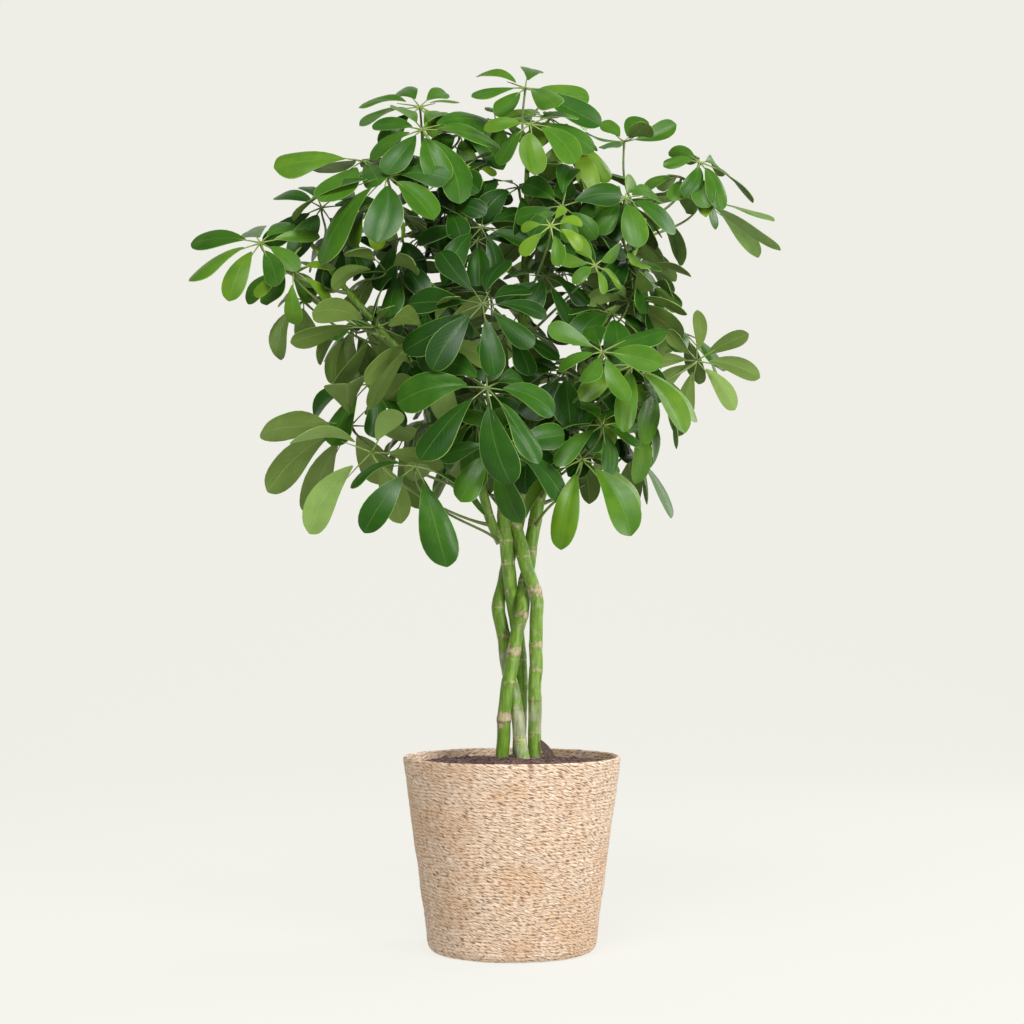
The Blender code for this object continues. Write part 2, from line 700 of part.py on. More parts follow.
def fan_is_open(fans):
    """Whether no leaflet touches another leaflet of its leaf."""
    trees = [tree(fan) for fan in fans]
    pairs = [(i, j) for i in range(len(fans)) for j in range(i + 1, len(fans))]
    return not any(trees[i].overlap(trees[j]) for i, j in pairs)


def stem_spot(line, height):
    """Centre of a leafy stem at a height."""
    points = line[0]
    low = points[0].z + STEM_END
    high = points[-1].z - STEM_END
    height = max(low, min(high, height))
    return at_height([tuple(point) for point in points], height)


def stalk_foot(leaf, line, stem_tree, lower):
    """Where the stalk meets its stem, and the way out from the stem there."""
    hub = Vector(leaf.hub)
    beside = stem_spot(line, hub.z - FOOT_LOOK)
    level = math.hypot(hub.x - beside.x, hub.y - beside.y)
    spot = stem_spot(line, hub.z - FOOT_SLOPE * min(level, FOOT_REACH) - FOOT_BELOW + lower)
    ahead = stem_spot(line, spot.z + FOOT_BELOW)
    behind = stem_spot(line, spot.z - FOOT_BELOW)
    along = (ahead - behind).normalized()
    outward = hub - spot
    outward = (outward - along * outward.dot(along)).normalized()
    hit = stem_tree.ray_cast(spot + outward * 4 * STEM_RADIUS, -outward)
    return hit[0] + outward * GAP, outward


class Crown:
    """Everything already in place, as boxes and search trees."""

    def __init__(self):
        self.pieces = []

    def add(self, name, solid):
        """Remember a piece that later ones must clear."""
        self.pieces.append((name, box_of(solid), tree(solid)))

    def clear(self, solid, ignored=None):
        """Whether a solid touches nothing except the ignored piece."""
        box = box_of(solid)
        search = tree(solid)
        for name, other_box, other_tree in self.pieces:
            if name != ignored and boxes_meet(box, other_box) and search.overlap(other_tree):
                return False
        return True


def stalk_parts(leaf, foot, outward):
    """The stalk's lowest stretch and the rest of it, thickened for the search."""
    rings = stalk_rings(leaf, foot, outward, CLEAR_GROW)
    return loft(rings[3:]), loft(rings[:4])


def place_width(leaf, foot, outward, crown):
    """The width that fits here, or None where the leaf would touch something."""
    near, far = stalk_parts(leaf, foot, outward)
    if not crown.clear(near, leaf.stem) or not crown.clear(far):
        return None
    for index in range(leaf.count):
        if not crown.clear(strip(leaf, index, TRY_WIDTHS[-1], CLEAR_GROW)):
            return None
    middle = tree(loft(stalk_rings(leaf, foot, outward, CLEAR_GROW)[1:]))
    for width in TRY_WIDTHS:
        fans = [strip(leaf, index, width, CLEAR_GROW, rooted=False) for index in range(leaf.count)]
        if fan_is_open(fans) and not any(tree(fan).overlap(middle) for fan in fans):
            if all(crown.clear(strip(leaf, index, width, CLEAR_GROW)) for index in range(leaf.count)):
                return width
    return None


def shifts():
    """Moves of the hub to try, the least visible first: sideways, in depth and up or down."""
    moves = [Vector((side, depth, rise)) for side in TRY_SIDES for depth in TRY_DEPTHS for rise in TRY_SIDES]
    return sorted(moves, key=lambda move: 2 * abs(move.x) + abs(move.y) + 2 * abs(move.z))


def settle(leaf, lines, stem_trees, crown):
    """The leaf's first clear place: its hub, turn, length and stalk's foot may change a little."""
    for share in TRY_LENGTHS:
        for shift in shifts():
            for turn in TRY_TURNS:
                hub = Vector(leaf.hub) + shift
                moved = leaf._replace(hub=hub, turn=leaf.turn + turn, length=leaf.length * share)
                for lower in TRY_FEET:
                    foot, outward = stalk_foot(moved, lines[leaf.stem], stem_trees[leaf.stem], lower)
                    width = place_width(moved, foot, outward, crown)
                    if width:
                        return moved, foot, outward, width
    raise RuntimeError("no clear place for the leaf at %s" % (leaf.hub,))


def fill_leaves():
    """Leaves of the back of the crown, spread by the golden angle from low to high."""
    leaves = []
    for index in range(FILL_COUNT):
        share = (index + 0.5) / FILL_COUNT
        azimuth = FILL_START + (index * GOLDEN_ANGLE) % FILL_SECTOR
        reach = FILL_REACH * (0.78 + 0.5 * math.sin(math.pi * share))
        turn = math.radians(azimuth)
        height = FILL_LOW + (FILL_HIGH - FILL_LOW) * share
        hub = (reach * math.cos(turn), FILL_DEPTH + reach * math.sin(turn), height)
        stem = "stem_3" if hub[0] > FILL_DEPTH else "stem_2"
        elevation = FILL_ELEVATION + FILL_RISE * share
        length = FILL_LENGTH - FILL_TAPER * share
        leaves.append(Leaf(stem, hub, azimuth, elevation, length, 7 + index % 2, FILL_DROOP, 15 * index, 0))
    return leaves


def make_leaves(trunks):
    """Every leaf, settled one after the other."""
    lines = {name: crown_line(name, trunk) for name, trunk in trunks.items()}
    stem_trees = {}
    crown = Crown()
    for name, trunk in trunks.items():
        crown.add(name, stem_solid(name, trunk, STEM_GROW))
        stem_trees[name] = tree(stem_solid(name, trunk))
    crown.add("stem_1", shoot_solid(STEM_GROW))
    stem_trees["stem_1"] = tree(shoot_solid())
    for number, leaf in enumerate(PLACED + fill_leaves(), start=1):
        moved, foot, outward, width = settle(leaf, lines, stem_trees, crown)
        name = "leaf_%02d" % number
        solid_object(name, leaf_solid(moved, foot, outward, width), "leaf", smooth=False)
        near, far = stalk_parts(moved, foot, outward)
        crown.add(name, near)
        crown.add(name, far)
        for index in range(moved.count):
            crown.add(name, strip(moved, index, width, CLEAR_GROW))


def main():
    """Build the whole plant."""
    clear_scene()
    make_basket()
    make_liner()
    trunks = braid_centres()
    make_chip(make_soil(trunks))
    make_stems(trunks)
    make_leaves(trunks)


main()
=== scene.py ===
# %% [markdown]
# A potted umbrella plant. Four stems are wound round each other, and each one ends in long
# stalks that carry fans of leaflets. The pot stands in a basket of coiled rope.
# The measured solids are loaded first, because every piece below takes its place from them.

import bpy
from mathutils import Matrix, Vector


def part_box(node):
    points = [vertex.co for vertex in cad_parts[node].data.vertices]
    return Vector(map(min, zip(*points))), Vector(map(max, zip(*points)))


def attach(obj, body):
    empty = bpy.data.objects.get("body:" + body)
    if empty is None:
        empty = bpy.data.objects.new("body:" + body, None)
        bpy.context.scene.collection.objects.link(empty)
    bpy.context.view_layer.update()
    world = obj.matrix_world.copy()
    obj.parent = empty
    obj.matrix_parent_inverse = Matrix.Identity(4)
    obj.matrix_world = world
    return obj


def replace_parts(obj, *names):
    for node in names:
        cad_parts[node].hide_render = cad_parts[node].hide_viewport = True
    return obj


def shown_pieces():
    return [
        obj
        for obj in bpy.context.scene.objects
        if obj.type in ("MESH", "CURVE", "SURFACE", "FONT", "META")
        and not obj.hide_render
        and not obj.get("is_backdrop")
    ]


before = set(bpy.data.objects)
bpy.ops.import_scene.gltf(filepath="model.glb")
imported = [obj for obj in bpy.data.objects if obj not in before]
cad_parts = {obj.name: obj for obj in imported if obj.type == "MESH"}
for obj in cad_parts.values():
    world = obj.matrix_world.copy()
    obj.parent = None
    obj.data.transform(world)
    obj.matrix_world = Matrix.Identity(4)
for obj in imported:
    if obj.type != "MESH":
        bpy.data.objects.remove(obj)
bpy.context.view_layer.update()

# %% Names used all through
import itertools
import math
import random
from collections import namedtuple

import bpy
import numpy as np
from mathutils import Matrix, Vector, noise

MM = 0.001
print("made with Blender", bpy.app.version_string)

# %% [markdown]
# A few helpers come back in every step. Operators act on what is selected, so a piece is picked
# alone before each one. Points are read and written as one array, which is quick.


# %% Helpers for picking and shaping
def deselect():
    """Nothing stays selected, so the next operator acts on its own piece alone."""
    if bpy.context.mode != "OBJECT":
        bpy.ops.object.mode_set(mode="OBJECT")
    bpy.ops.object.select_all(action="DESELECT")


def pick(obj):
    """Select one piece and make it the active one."""
    deselect()
    obj.select_set(True)
    bpy.context.view_layer.objects.active = obj


def edit_edges(obj, wanted):
    """Open a piece for editing, with only those edges selected whose two ends pass a test."""
    bpy.ops.object.mode_set(mode="EDIT")
    bpy.ops.mesh.select_all(action="DESELECT")
    bpy.ops.object.mode_set(mode="OBJECT")
    for edge in obj.data.edges:
        edge.select = wanted([obj.data.vertices[index] for index in edge.vertices])
    bpy.ops.object.mode_set(mode="EDIT")


def tidy_shell():
    """Weld doubled points of the active piece and turn its faces outward."""
    bpy.ops.object.mode_set(mode="EDIT")
    bpy.ops.mesh.select_all(action="SELECT")
    bpy.ops.mesh.remove_doubles(threshold=0.00001)
    bpy.ops.mesh.normals_make_consistent(inside=False)
    bpy.ops.object.mode_set(mode="OBJECT")


def points_of(mesh):
    """All points of a mesh as one array of rows."""
    flat = np.empty(len(mesh.vertices) * 3)
    mesh.vertices.foreach_get("co", flat)
    return flat.reshape(-1, 3)


def set_points(mesh, rows):
    """Write an array of rows back as the mesh's points."""
    mesh.vertices.foreach_set("co", np.asarray(rows, float).ravel())
    mesh.update()


def hand_over(obj, name, slot, *nodes):
    """Name a finished piece, let it ride on the plant, and hide the measured solids it stands for.
    """
    obj.name = name
    obj.data.name = name
    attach(obj, "root")
    if nodes:
        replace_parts(obj, *nodes)
    return obj


def triangles_of(piece):
    """How many triangles a piece has."""
    return sum(len(face.vertices) - 2 for face in piece.data.polygons)


# %% [markdown]
# The camera stands level with the lower leaves and a little under two metres away, and looks
# up by less than two degrees. A lens of medium length keeps the basket's sides almost straight.

# %% Camera
CAMERA_PLACE = (0.0, -1.95, 0.328)
CAMERA_PITCH = 91.87
LENS = 76.2
SENSOR = 36.0
bpy.ops.object.camera_add(location=CAMERA_PLACE, rotation=(math.radians(CAMERA_PITCH), 0.0, 0.0))
camera = bpy.context.object
camera.data.lens = LENS
camera.data.sensor_width = SENSOR
bpy.context.scene.camera = camera
bpy.context.scene.view_settings.view_transform = "Standard"
print("camera at", camera.location[:])

# %% [markdown]
# The plant stands on a plain pale sweep, as in a small product studio. The floor runs up into a
# wall through a wide curve, so no corner shows. It is a plane whose far edge is pulled up and
# whose fold is then rounded with a bevel. The paper glows a little, as if lit from behind, which
# keeps it evenly pale and the shadow on it faint.

# %% Floor and wall
FLOOR_SIZE = 12.0
FLOOR_MIDDLE = (0.0, -2.0, 0.0)
FAR_EDGE = 3.9
WALL_HEIGHT = 6.0
SWEEP_CURVE = 2.2
SWEEP_STEPS = 24
PAPER_GREY = (0.09, 0.089, 0.083, 1.0)
PAPER_GLOW = (0.863, 0.855, 0.799, 1.0)
GLOW_STRENGTH = 0.93
deselect()
bpy.ops.mesh.primitive_plane_add(size=FLOOR_SIZE, location=FLOOR_MIDDLE)
sweep = bpy.context.object
sweep.name = "studio_sweep"
bpy.ops.object.transform_apply(location=True, rotation=True, scale=True)
edit_edges(sweep, lambda ends: all(end.co.y > FAR_EDGE for end in ends))
bpy.ops.mesh.extrude_region_move(TRANSFORM_OT_translate={"value": (0.0, 0.0, WALL_HEIGHT)})
edit_edges(sweep, lambda ends: all(end.co.y > FAR_EDGE and end.co.z < 0.1 for end in ends))
bpy.ops.mesh.bevel(offset=SWEEP_CURVE, segments=SWEEP_STEPS, affect="EDGES")
bpy.ops.object.mode_set(mode="OBJECT")
bpy.ops.object.shade_smooth()
paper = bpy.data.materials.new("pale_paper")
paper.use_nodes = True
paper_shader = paper.node_tree.nodes["Principled BSDF"].inputs
paper_shader["Base Color"].default_value = PAPER_GREY
paper_shader["Roughness"].default_value = 0.95
paper_shader["Specular IOR Level"].default_value = 0.0
paper_shader["Emission Color"].default_value = PAPER_GLOW
paper_shader["Emission Strength"].default_value = GLOW_STRENGTH
sweep.data.materials.append(paper)
sweep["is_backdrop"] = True
print("sweep faces:", len(sweep.data.polygons))

# %% [markdown]
# The light is soft and comes from everywhere. One broad lamp stands above and in front, a second
# one low on the right, and a weaker third one behind the plant on that side. They give the leaves
# their pale sheen and their bright right-hand edges, and leave the inside of the crown dark.

# %% Light
AIR_COLOUR = (1.0, 0.99, 0.97, 1.0)
AIR_STRENGTH = 0.23
world = bpy.data.worlds.new("studio_air")
bpy.context.scene.world = world
world.use_nodes = True
air = world.node_tree.nodes["Background"].inputs
air["Color"].default_value = AIR_COLOUR
air["Strength"].default_value = AIR_STRENGTH


def soft_lamp(name, place, aim, size, power):
    """A square lamp that faces a point."""
    bpy.ops.object.light_add(type="AREA", location=place)
    lamp = bpy.context.object
    lamp.name = name
    lamp.data.shape = "SQUARE"
    lamp.data.size = size
    lamp.data.energy = power
    way = Vector(aim) - Vector(place)
    lamp.rotation_euler = way.to_track_quat("-Z", "Y").to_euler()
    return lamp


soft_lamp("lamp_above", (-0.3, -1.5, 2.2), (0.0, 0.0, 0.5), 0.9, 50.0)
soft_lamp("lamp_right", (1.5, -1.8, 0.9), (0.0, 0.0, 0.3), 0.8, 44.0)
soft_lamp("lamp_far_right", (1.6, 0.7, 1.3), (0.1, 0.0, 0.5), 1.0, 24.0)

# %% [markdown]
# Every finish is a small network of shader nodes. These helpers add a node, feed its inputs with
# numbers or with other nodes, and hand back the output, so a finish reads like a sum.


# %% Helpers for finishes
class Finish:
    """One material and short ways to add nodes to it."""

    def __init__(self, name, roughness, sheen=0.0):
        self.material = bpy.data.materials.new(name)
        self.material.use_nodes = True
        self.tree = self.material.node_tree
        self.shader = self.tree.nodes["Principled BSDF"]
        self.shader.inputs["Roughness"].default_value = roughness
        self.shader.inputs["Sheen Weight"].default_value = sheen

    def node(self, kind, values=None, **settings):
        """Add a node, set its options, and feed its inputs."""
        made = self.tree.nodes.new("ShaderNode" + kind)
        for key, setting in settings.items():
            setattr(made, key, setting)
        for key, value in (values or {}).items():
            if isinstance(value, bpy.types.NodeSocket):
                self.tree.links.new(value, made.inputs[key])
            else:
                made.inputs[key].default_value = value
        return made

    def math(self, operation, *values):
        """Do one step of arithmetic."""
        return self.node("Math", dict(enumerate(values)), operation=operation).outputs[0]

    def mix(self, factor, first, second):
        """Blend two colours."""
        made = self.node("Mix", {"Factor": factor}, data_type="RGBA")
        for index, value in ((6, first), (7, second)):
            if isinstance(value, bpy.types.NodeSocket):
                self.tree.links.new(value, made.inputs[index])
            else:
                made.inputs[index].default_value = value
        return made.outputs[2]

    def times(self, *values):
        """Multiply two values."""
        return self.math("MULTIPLY", *values)

    def times_add(self, *values):
        """Multiply the first two values and add the third."""
        return self.math("MULTIPLY_ADD", *values)

    def stain(self, colour, mark, strength, paint):
        """Lay another colour over a colour where a mark shows, as strongly as asked."""
        return self.mix(self.times(mark, strength), colour, paint)

    def noise(self, vector, scale, detail=3.0, roughness=0.55):
        """Soft random values."""
        values = {"Vector": vector, "Scale": scale, "Detail": detail, "Roughness": roughness}
        return self.node("TexNoise", values).outputs["Fac"]

    def stored(self, name):
        """A number stored on the piece's points."""
        return self.node("Attribute", attribute_name=name).outputs["Fac"]

    def from_half(self, value):
        """How far a value lies from one half."""
        return self.math("ABSOLUTE", self.math("SUBTRACT", value, 0.5))

    def band(self, value, low, high):
        """Rise smoothly from 0 to 1 between two values."""
        values = {"Value": value, "From Min": low, "From Max": high}
        return self.node("MapRange", values, interpolation_type="SMOOTHSTEP").outputs["Result"]

    def ramp(self, value, *stops):
        """Turn a value into a colour by named stops."""
        made = self.node("ValToRGB", {"Fac": value})
        marks = made.color_ramp.elements
        while len(marks) < len(stops):
            marks.new(0.5)
        for mark, (place, colour) in zip(marks, stops):
            mark.position = place
            mark.color = (*colour, 1.0)
        return made.outputs["Color"]

    def place(self):
        """Coordinates on the object itself, in metres."""
        return self.node("TexCoord").outputs["Object"]

    def split_uv(self):
        """The two numbers of the piece's own surface map."""
        made = self.node("SeparateXYZ", {"Vector": self.node("UVMap").outputs["UV"]})
        return made.outputs["X"], made.outputs["Y"]

    def join(self, x, y, z=0.0):
        """Put three numbers together as one vector."""
        return self.node("CombineXYZ", {"X": x, "Y": y, "Z": z}).outputs["Vector"]

    def wear(self, colour, height=None, strength=0.3, depth=0.001, roughness=None):
        """Give the shader its colour, relief and roughness."""
        self.tree.links.new(colour, self.shader.inputs["Base Color"])
        if height is not None:
            values = {"Height": height, "Strength": strength, "Distance": depth}
            bump = self.node("Bump", values)
            self.tree.links.new(bump.outputs["Normal"], self.shader.inputs["Normal"])
        if roughness is not None:
            self.tree.links.new(roughness, self.shader.inputs["Roughness"])
        return self.material


# %% [markdown]
# The basket is one long cord of twisted dry grass, coiled upwards and sewn to itself. Each turn
# of the coil shows as a thin round ridge. The outline of the wall, with a small half circle for
# every turn, is drawn as a chain of edges and spun round the middle like clay on a wheel.

# %% Basket outline
BASKET_HEIGHT = 173.0
BASKET_BASE = 75.5
BASKET_RIM = 97.5
BASKET_CORNER = 8.0
BASKET_WALL = 4.0
COIL_TURNS = 58
COIL_STEPS = 4
COIL_FIRST = 11
COIL_SWELL = 0.13
BASE_THICK = 5.0
INNER_ROWS = 13
LIP = 2.0
SPIN_STEPS = 176
coil_pitch = (BASKET_HEIGHT - LIP) / COIL_TURNS


def wall_radius(height):
    """Radius of the sloping outer wall at a height."""
    share = (height - BASKET_CORNER) / (BASKET_HEIGHT - BASKET_CORNER)
    return BASKET_BASE + (BASKET_RIM - BASKET_BASE) * share


def groove(height):
    """Depth of the groove between two turns of the coil at a height."""
    return COIL_SWELL * (1 - abs(math.sin(math.pi * height / coil_pitch)) ** 0.6)


def wall_outline():
    """Radius and height from the middle of the base, up the ridged wall and down the inside."""
    line = [(0.0, 0.4), (30.0, 0.2), (BASKET_BASE - BASKET_CORNER, 0.0)]
    for degrees in (18, 36, 54, 72):
        turn = math.radians(degrees)
        line.append((BASKET_BASE - BASKET_CORNER + BASKET_CORNER * math.sin(turn),
                     BASKET_CORNER * (1 - math.cos(turn))))
    for step in range(COIL_FIRST, COIL_TURNS * COIL_STEPS + 1):
        height = step * coil_pitch / COIL_STEPS
        line.append((wall_radius(height) - groove(height), height))
    for degrees in (35, 70, 105, 140, 175):
        turn = math.radians(degrees)
        middle = wall_radius(BASKET_HEIGHT - LIP) - LIP
        line.append((middle + LIP * math.cos(turn), BASKET_HEIGHT - LIP + LIP * math.sin(turn)))
    for step in range(INNER_ROWS):
        height = BASKET_HEIGHT - 3.5 - step * coil_pitch / 3
        line.append((wall_radius(height) - BASKET_WALL + groove(height) * 0.6, height))
    line += [(wall_radius(60.0) - BASKET_WALL, 60.0), (wall_radius(12.0) - BASKET_WALL, 12.0)]
    line += [(BASKET_BASE - 9.0, BASE_THICK), (0.0, BASE_THICK)]
    return line


outline = wall_outline()
print("outline points:", len(outline), "coil pitch in mm:", round(coil_pitch, 2))


# %% Spin the basket
def spun_piece(line, steps):
    """Spin a chain of points round the upright axis into one closed shell."""
    deselect()
    bpy.ops.mesh.primitive_circle_add(vertices=len(line), fill_type="NOTHING")
    piece = bpy.context.object
    edit_edges(piece, lambda ends: {end.index for end in ends} == {0, len(line) - 1})
    bpy.ops.mesh.delete(type="EDGE_FACE")
    bpy.ops.object.mode_set(mode="OBJECT")
    set_points(piece.data, [(radius * MM, 0.0, height * MM) for radius, height in line])
    bpy.ops.object.mode_set(mode="EDIT")
    bpy.ops.mesh.select_all(action="SELECT")
    bpy.ops.mesh.spin(steps=steps, angle=2 * math.pi, center=(0, 0, 0), axis=(0, 0, 1))
    bpy.ops.object.mode_set(mode="OBJECT")
    tidy_shell()
    return piece


basket = spun_piece(outline, SPIN_STEPS)
print("basket faces:", len(basket.data.polygons))

# %% [markdown]
# Hand-made coils are never true. Slow random waves move the wall in and out by half a
# millimetre, and the ridges rise and fall a little. A surface map counts millimetres round the
# wall and coils up it, so that the grass twist can follow the ridges. It starts at the back.

# %% Make the basket uneven and give it a surface map
WALL_ROUND = 540.0
FLAT_BASE = 0.03
WALL_LEAN = 0.8
WALL_ROUGH = 0.45
RIM_WAVE = 0.5
RIM_STARTS = 0.12
RIM_REACH = 0.053


def map_round(mesh, length, pitch):
    """Millimetres round the piece and coil number up it, for every face corner."""
    layer = mesh.uv_layers.new(name="UVMap") if not mesh.uv_layers else mesh.uv_layers[0]
    for face in mesh.polygons:
        middle = math.atan2(face.center.x, -face.center.y)
        for loop in face.loop_indices:
            point = mesh.vertices[mesh.loops[loop].vertex_index].co
            turn = math.atan2(point.x, -point.y)
            if turn - middle > math.pi:
                turn -= 2 * math.pi
            if middle - turn > math.pi:
                turn += 2 * math.pi
            level = math.hypot(point.x, point.y) / MM
            under = min(level - (BASKET_BASE - BASKET_CORNER), 0.0)
            round_share = turn / (2 * math.pi)
            layer.data[loop].uv = (round_share * length, (point.z / MM + under) / pitch)


map_round(basket.data, WALL_ROUND, coil_pitch)
rows = points_of(basket.data)
for row in rows:
    level = math.hypot(row[0], row[1])
    if level > FLAT_BASE:
        lean = noise.noise(Vector((row[0], row[1], row[2] * 1.6)) * 28.0)
        rough = noise.noise(Vector((row[0] * 1.3, row[1] * 1.3, row[2] * 3.0)) * 95.0)
        push = 1 + (lean * WALL_LEAN + rough * WALL_ROUGH) * MM / level
        row[0] *= push
        row[1] *= push
        if row[2] > RIM_STARTS:
            row[2] += rough * RIM_WAVE * MM * (row[2] - RIM_STARTS) / RIM_REACH
set_points(basket.data, rows)
pick(basket)
bpy.ops.object.shade_smooth()
print("uneven basket from", rows.min(0), "to", rows.max(0))

# %% [markdown]
# The cord is straw coloured, with short dark dashes where one strand dives under the next; they are
# painted shade of the crevices between the strands. They lean the way the grass is twisted and are
# scattered without any order, so they come from noise drawn out along that slope: long thin fibres
# first, then the dashes, then smaller ticks of painted shade between them, and a faint painted
# shade in the groove between two turns. A slow wave bends the rows, and wide patches turn the straw
# browner or greyer.

# %% Rope finish
DASH_SLOPE = 0.34
rope = Finish("dry_grass_rope", 0.85, sheen=0.1)
where = rope.place()
round_wall, up = rope.split_uv()
up = rope.times_add(rope.noise(where, 30.0, 3.0), 2.2, up)
fall = rope.times_add(round_wall, DASH_SLOPE, rope.times(up, coil_pitch))
from_crest = rope.from_half(rope.math("FRACT", up))


def slanted(length, width, detail):
    """Noise drawn out along the slope of the twist, in millimetres."""
    vector = rope.join(rope.math("DIVIDE", round_wall, length), rope.math("DIVIDE", fall, width))
    return rope.noise(vector, 1.0, detail, 0.5)


def strokes(length, width, low, high):
    """Painted shade of the crevices along the twist, a little more of it between two turns."""
    crest_push = rope.times_add(from_crest, 0.14, -0.035)
    return rope.band(rope.math("ADD", slanted(length, width, 2.0), crest_push), low, high)


fray = rope.noise(where, 700.0, 3.0, 0.6)
fibres = slanted(9.0, 0.6, 3.0)
# The dashes and ticks are painted shade of the crevices between the strands.
dashes = strokes(6.0, 1.0, 0.525, 0.625)
ticks = strokes(4.0, 0.65, 0.505, 0.63)
# Painted shade in the groove between two turns of the coil.
groove_shade = rope.band(rope.times_add(fray, 0.3, from_crest), 0.44, 0.64)
dark = rope.math("MAXIMUM", dashes, rope.times(ticks, 0.65))
dark = rope.math("MAXIMUM", dark, rope.times(groove_shade, 0.15))
patch = rope.noise(where, 22.0, 4.0)
tint = rope.noise(where, 60.0, 3.0)
straw = rope.ramp(rope.times_add(fray, 0.25, rope.times(fibres, 0.75)),
                  (0.32, (0.44, 0.27, 0.15)), (0.44, (0.69, 0.47, 0.31)),
                  (0.54, (0.82, 0.63, 0.47)), (0.66, (0.96, 0.87, 0.76)))
straw = rope.stain(straw, rope.band(tint, 0.5, 0.7), 0.4, (0.74, 0.62, 0.50, 1.0))
straw = rope.stain(straw, rope.band(patch, 0.47, 0.62), 0.5, (0.66, 0.41, 0.23, 1.0))
# The dark brown laid on here is the painted shade of the crevices and grooves.
straw = rope.stain(straw, dark, 0.9, (0.15, 0.068, 0.022, 1.0))
relief = rope.math("SUBTRACT", rope.times_add(fibres, 0.5, rope.times(fray, 0.2)), dark)
rope_material = rope.wear(straw, relief, 0.6, 0.0012, rope.times_add(fibres, 0.2, 0.72))
basket.data.materials.append(rope_material)
hand_over(basket, "coiled_basket", "basket", "woven_basket")
print("basket triangles:", triangles_of(basket))

# %% [markdown]
# Potting soil is loose and lumpy, a little heaped where the stems go in. It fills the thin inner
# pot, so its outline is spun like the basket's, with closely set rings across the top. The top
# is then raised by layers of noise. Crumbs are one small faceted ball, copied a few hundred
# times, each with its own size, and sunk to the middle.

# %% Soil body
SOIL_EDGE = 165.5
SOIL_LIP = 158.0
SOIL_RADIUS = wall_radius(SOIL_EDGE) - BASKET_WALL - 0.6
SOIL_RINGS = 60
SOIL_TURNS = 190
SOIL_DOME = 2.6
MOUND_RISE = 6.5
MOUND_REACH = 24.0
LUMP = 2.0
GRAIN = 0.8
soil_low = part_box("soil")[0].z / MM


def soil_height(x, y):
    """Height of the soil's top in millimetres at a place in millimetres."""
    share = math.hypot(x, y) / SOIL_RADIUS
    mound = MOUND_RISE * math.exp(-(math.hypot(x - 6.0, y + 2.0) / MOUND_REACH) ** 2)
    lumps = LUMP * noise.fractal(Vector((x, y, 3.0)) * 0.055, 0.9, 2.1, 4)
    grains = GRAIN * noise.noise(Vector((x, y, 9.0)) * 0.4)
    fade = min(1.0, 6.0 * max(0.0, 1.02 - share))
    return SOIL_EDGE + SOIL_DOME * (1 - share ** 2) + mound + (lumps + grains) * fade


soil_line = [(0.0, soil_low), (BASKET_BASE - 14.2, soil_low), (wall_radius(17.0) - 7.3, 17.0),
             (wall_radius(155.0) - 7.3, SOIL_LIP - 1.2), (wall_radius(SOIL_LIP) - 5.0, SOIL_LIP)]
soil_line += [(SOIL_RADIUS * (1 - ring / SOIL_RINGS), SOIL_EDGE)
              for ring in range(SOIL_RINGS + 1)]
soil = spun_piece(soil_line, SOIL_TURNS)
rows = points_of(soil.data)
for row in rows:
    if row[2] > (SOIL_EDGE - 1) * MM:
        row[2] = soil_height(row[0] / MM, row[1] / MM) * MM
set_points(soil.data, rows)
print("soil faces:", len(soil.data.polygons))

# %% Soil crumbs
CRUMBS = 460
CRUMB_STRETCH = ((0.7, 1.5), (0.7, 1.3), (0.5, 0.9))
crumb_dice = random.Random(11)
deselect()
bpy.ops.mesh.primitive_ico_sphere_add(subdivisions=1, radius=1.0)
crumb = bpy.context.object
crumb_shape = points_of(crumb.data)
crumbs = []
for _ in range(CRUMBS):
    reach = SOIL_RADIUS * math.sqrt(crumb_dice.random()) * 0.97
    turn = crumb_dice.uniform(0, 2 * math.pi)
    x, y = reach * math.cos(turn), reach * math.sin(turn)
    size = crumb_dice.uniform(0.5, 1.4) + 1.5 * crumb_dice.random() ** 5
    stretch = [crumb_dice.uniform(low, high) for low, high in CRUMB_STRETCH]
    middle = [x, y, soil_height(x, y) + size * 0.15]
    grain = crumb.copy()
    grain.data = crumb.data.copy()
    bpy.context.scene.collection.objects.link(grain)
    set_points(grain.data, (crumb_shape * stretch * size + middle) * MM)
    crumbs.append(grain)
bpy.data.objects.remove(crumb)
pick(soil)
for grain in crumbs:
    grain.select_set(True)
bpy.ops.object.join()
bpy.ops.object.shade_smooth_by_angle(angle=math.radians(50))
print("soil faces with crumbs:", len(soil.data.polygons))

# %% [markdown]
# Damp soil is a dark red-brown, mottled, with painted shade that darkens it in the hollows of its
# relief, and pale flecks of bark and sand. The thin pot under it is hidden, and keeps its measured
# solid with a dull black finish.

# %% Soil and inner pot finish
earth = Finish("damp_soil", 0.92)
where = earth.place()
clods_and_hollow_shade = earth.noise(where, 260.0, 6.0, 0.65)
flecks = earth.noise(where, 900.0, 2.0)
# The near-black low end of this ramp falls in the hollows of the relief: painted shade.
brown = earth.ramp(clods_and_hollow_shade, (0.32, (0.016, 0.008, 0.008)), (0.5, (0.072, 0.037, 0.034)),
                   (0.68, (0.25, 0.14, 0.12)))
brown = earth.stain(brown, earth.band(flecks, 0.60, 0.70), 0.8, (0.34, 0.22, 0.18, 1.0))
soil.data.materials.append(earth.wear(brown, clods_and_hollow_shade, 0.8, 0.0015))
hand_over(soil, "potting_soil", "soil", "soil")

pot_skin = Finish("dull_black_pot", 0.55)
rub = pot_skin.noise(pot_skin.place(), 60.0, 4.0)
pot_black = pot_skin.ramp(rub, (0.3, (0.012, 0.012, 0.013)), (0.7, (0.030, 0.030, 0.032)))
pot_material = pot_skin.wear(pot_black, rub, 0.1, 0.0004)
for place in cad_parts["pot_liner"].material_slots:
    place.material = pot_material
print("soil triangles:", triangles_of(soil), "inner pot finish:", pot_material.name)

# %% [markdown]
# A shard of bark stands in the soil beside the stems. It is a cube cut into slices, drawn out to
# a point, roughened, and leaned over.

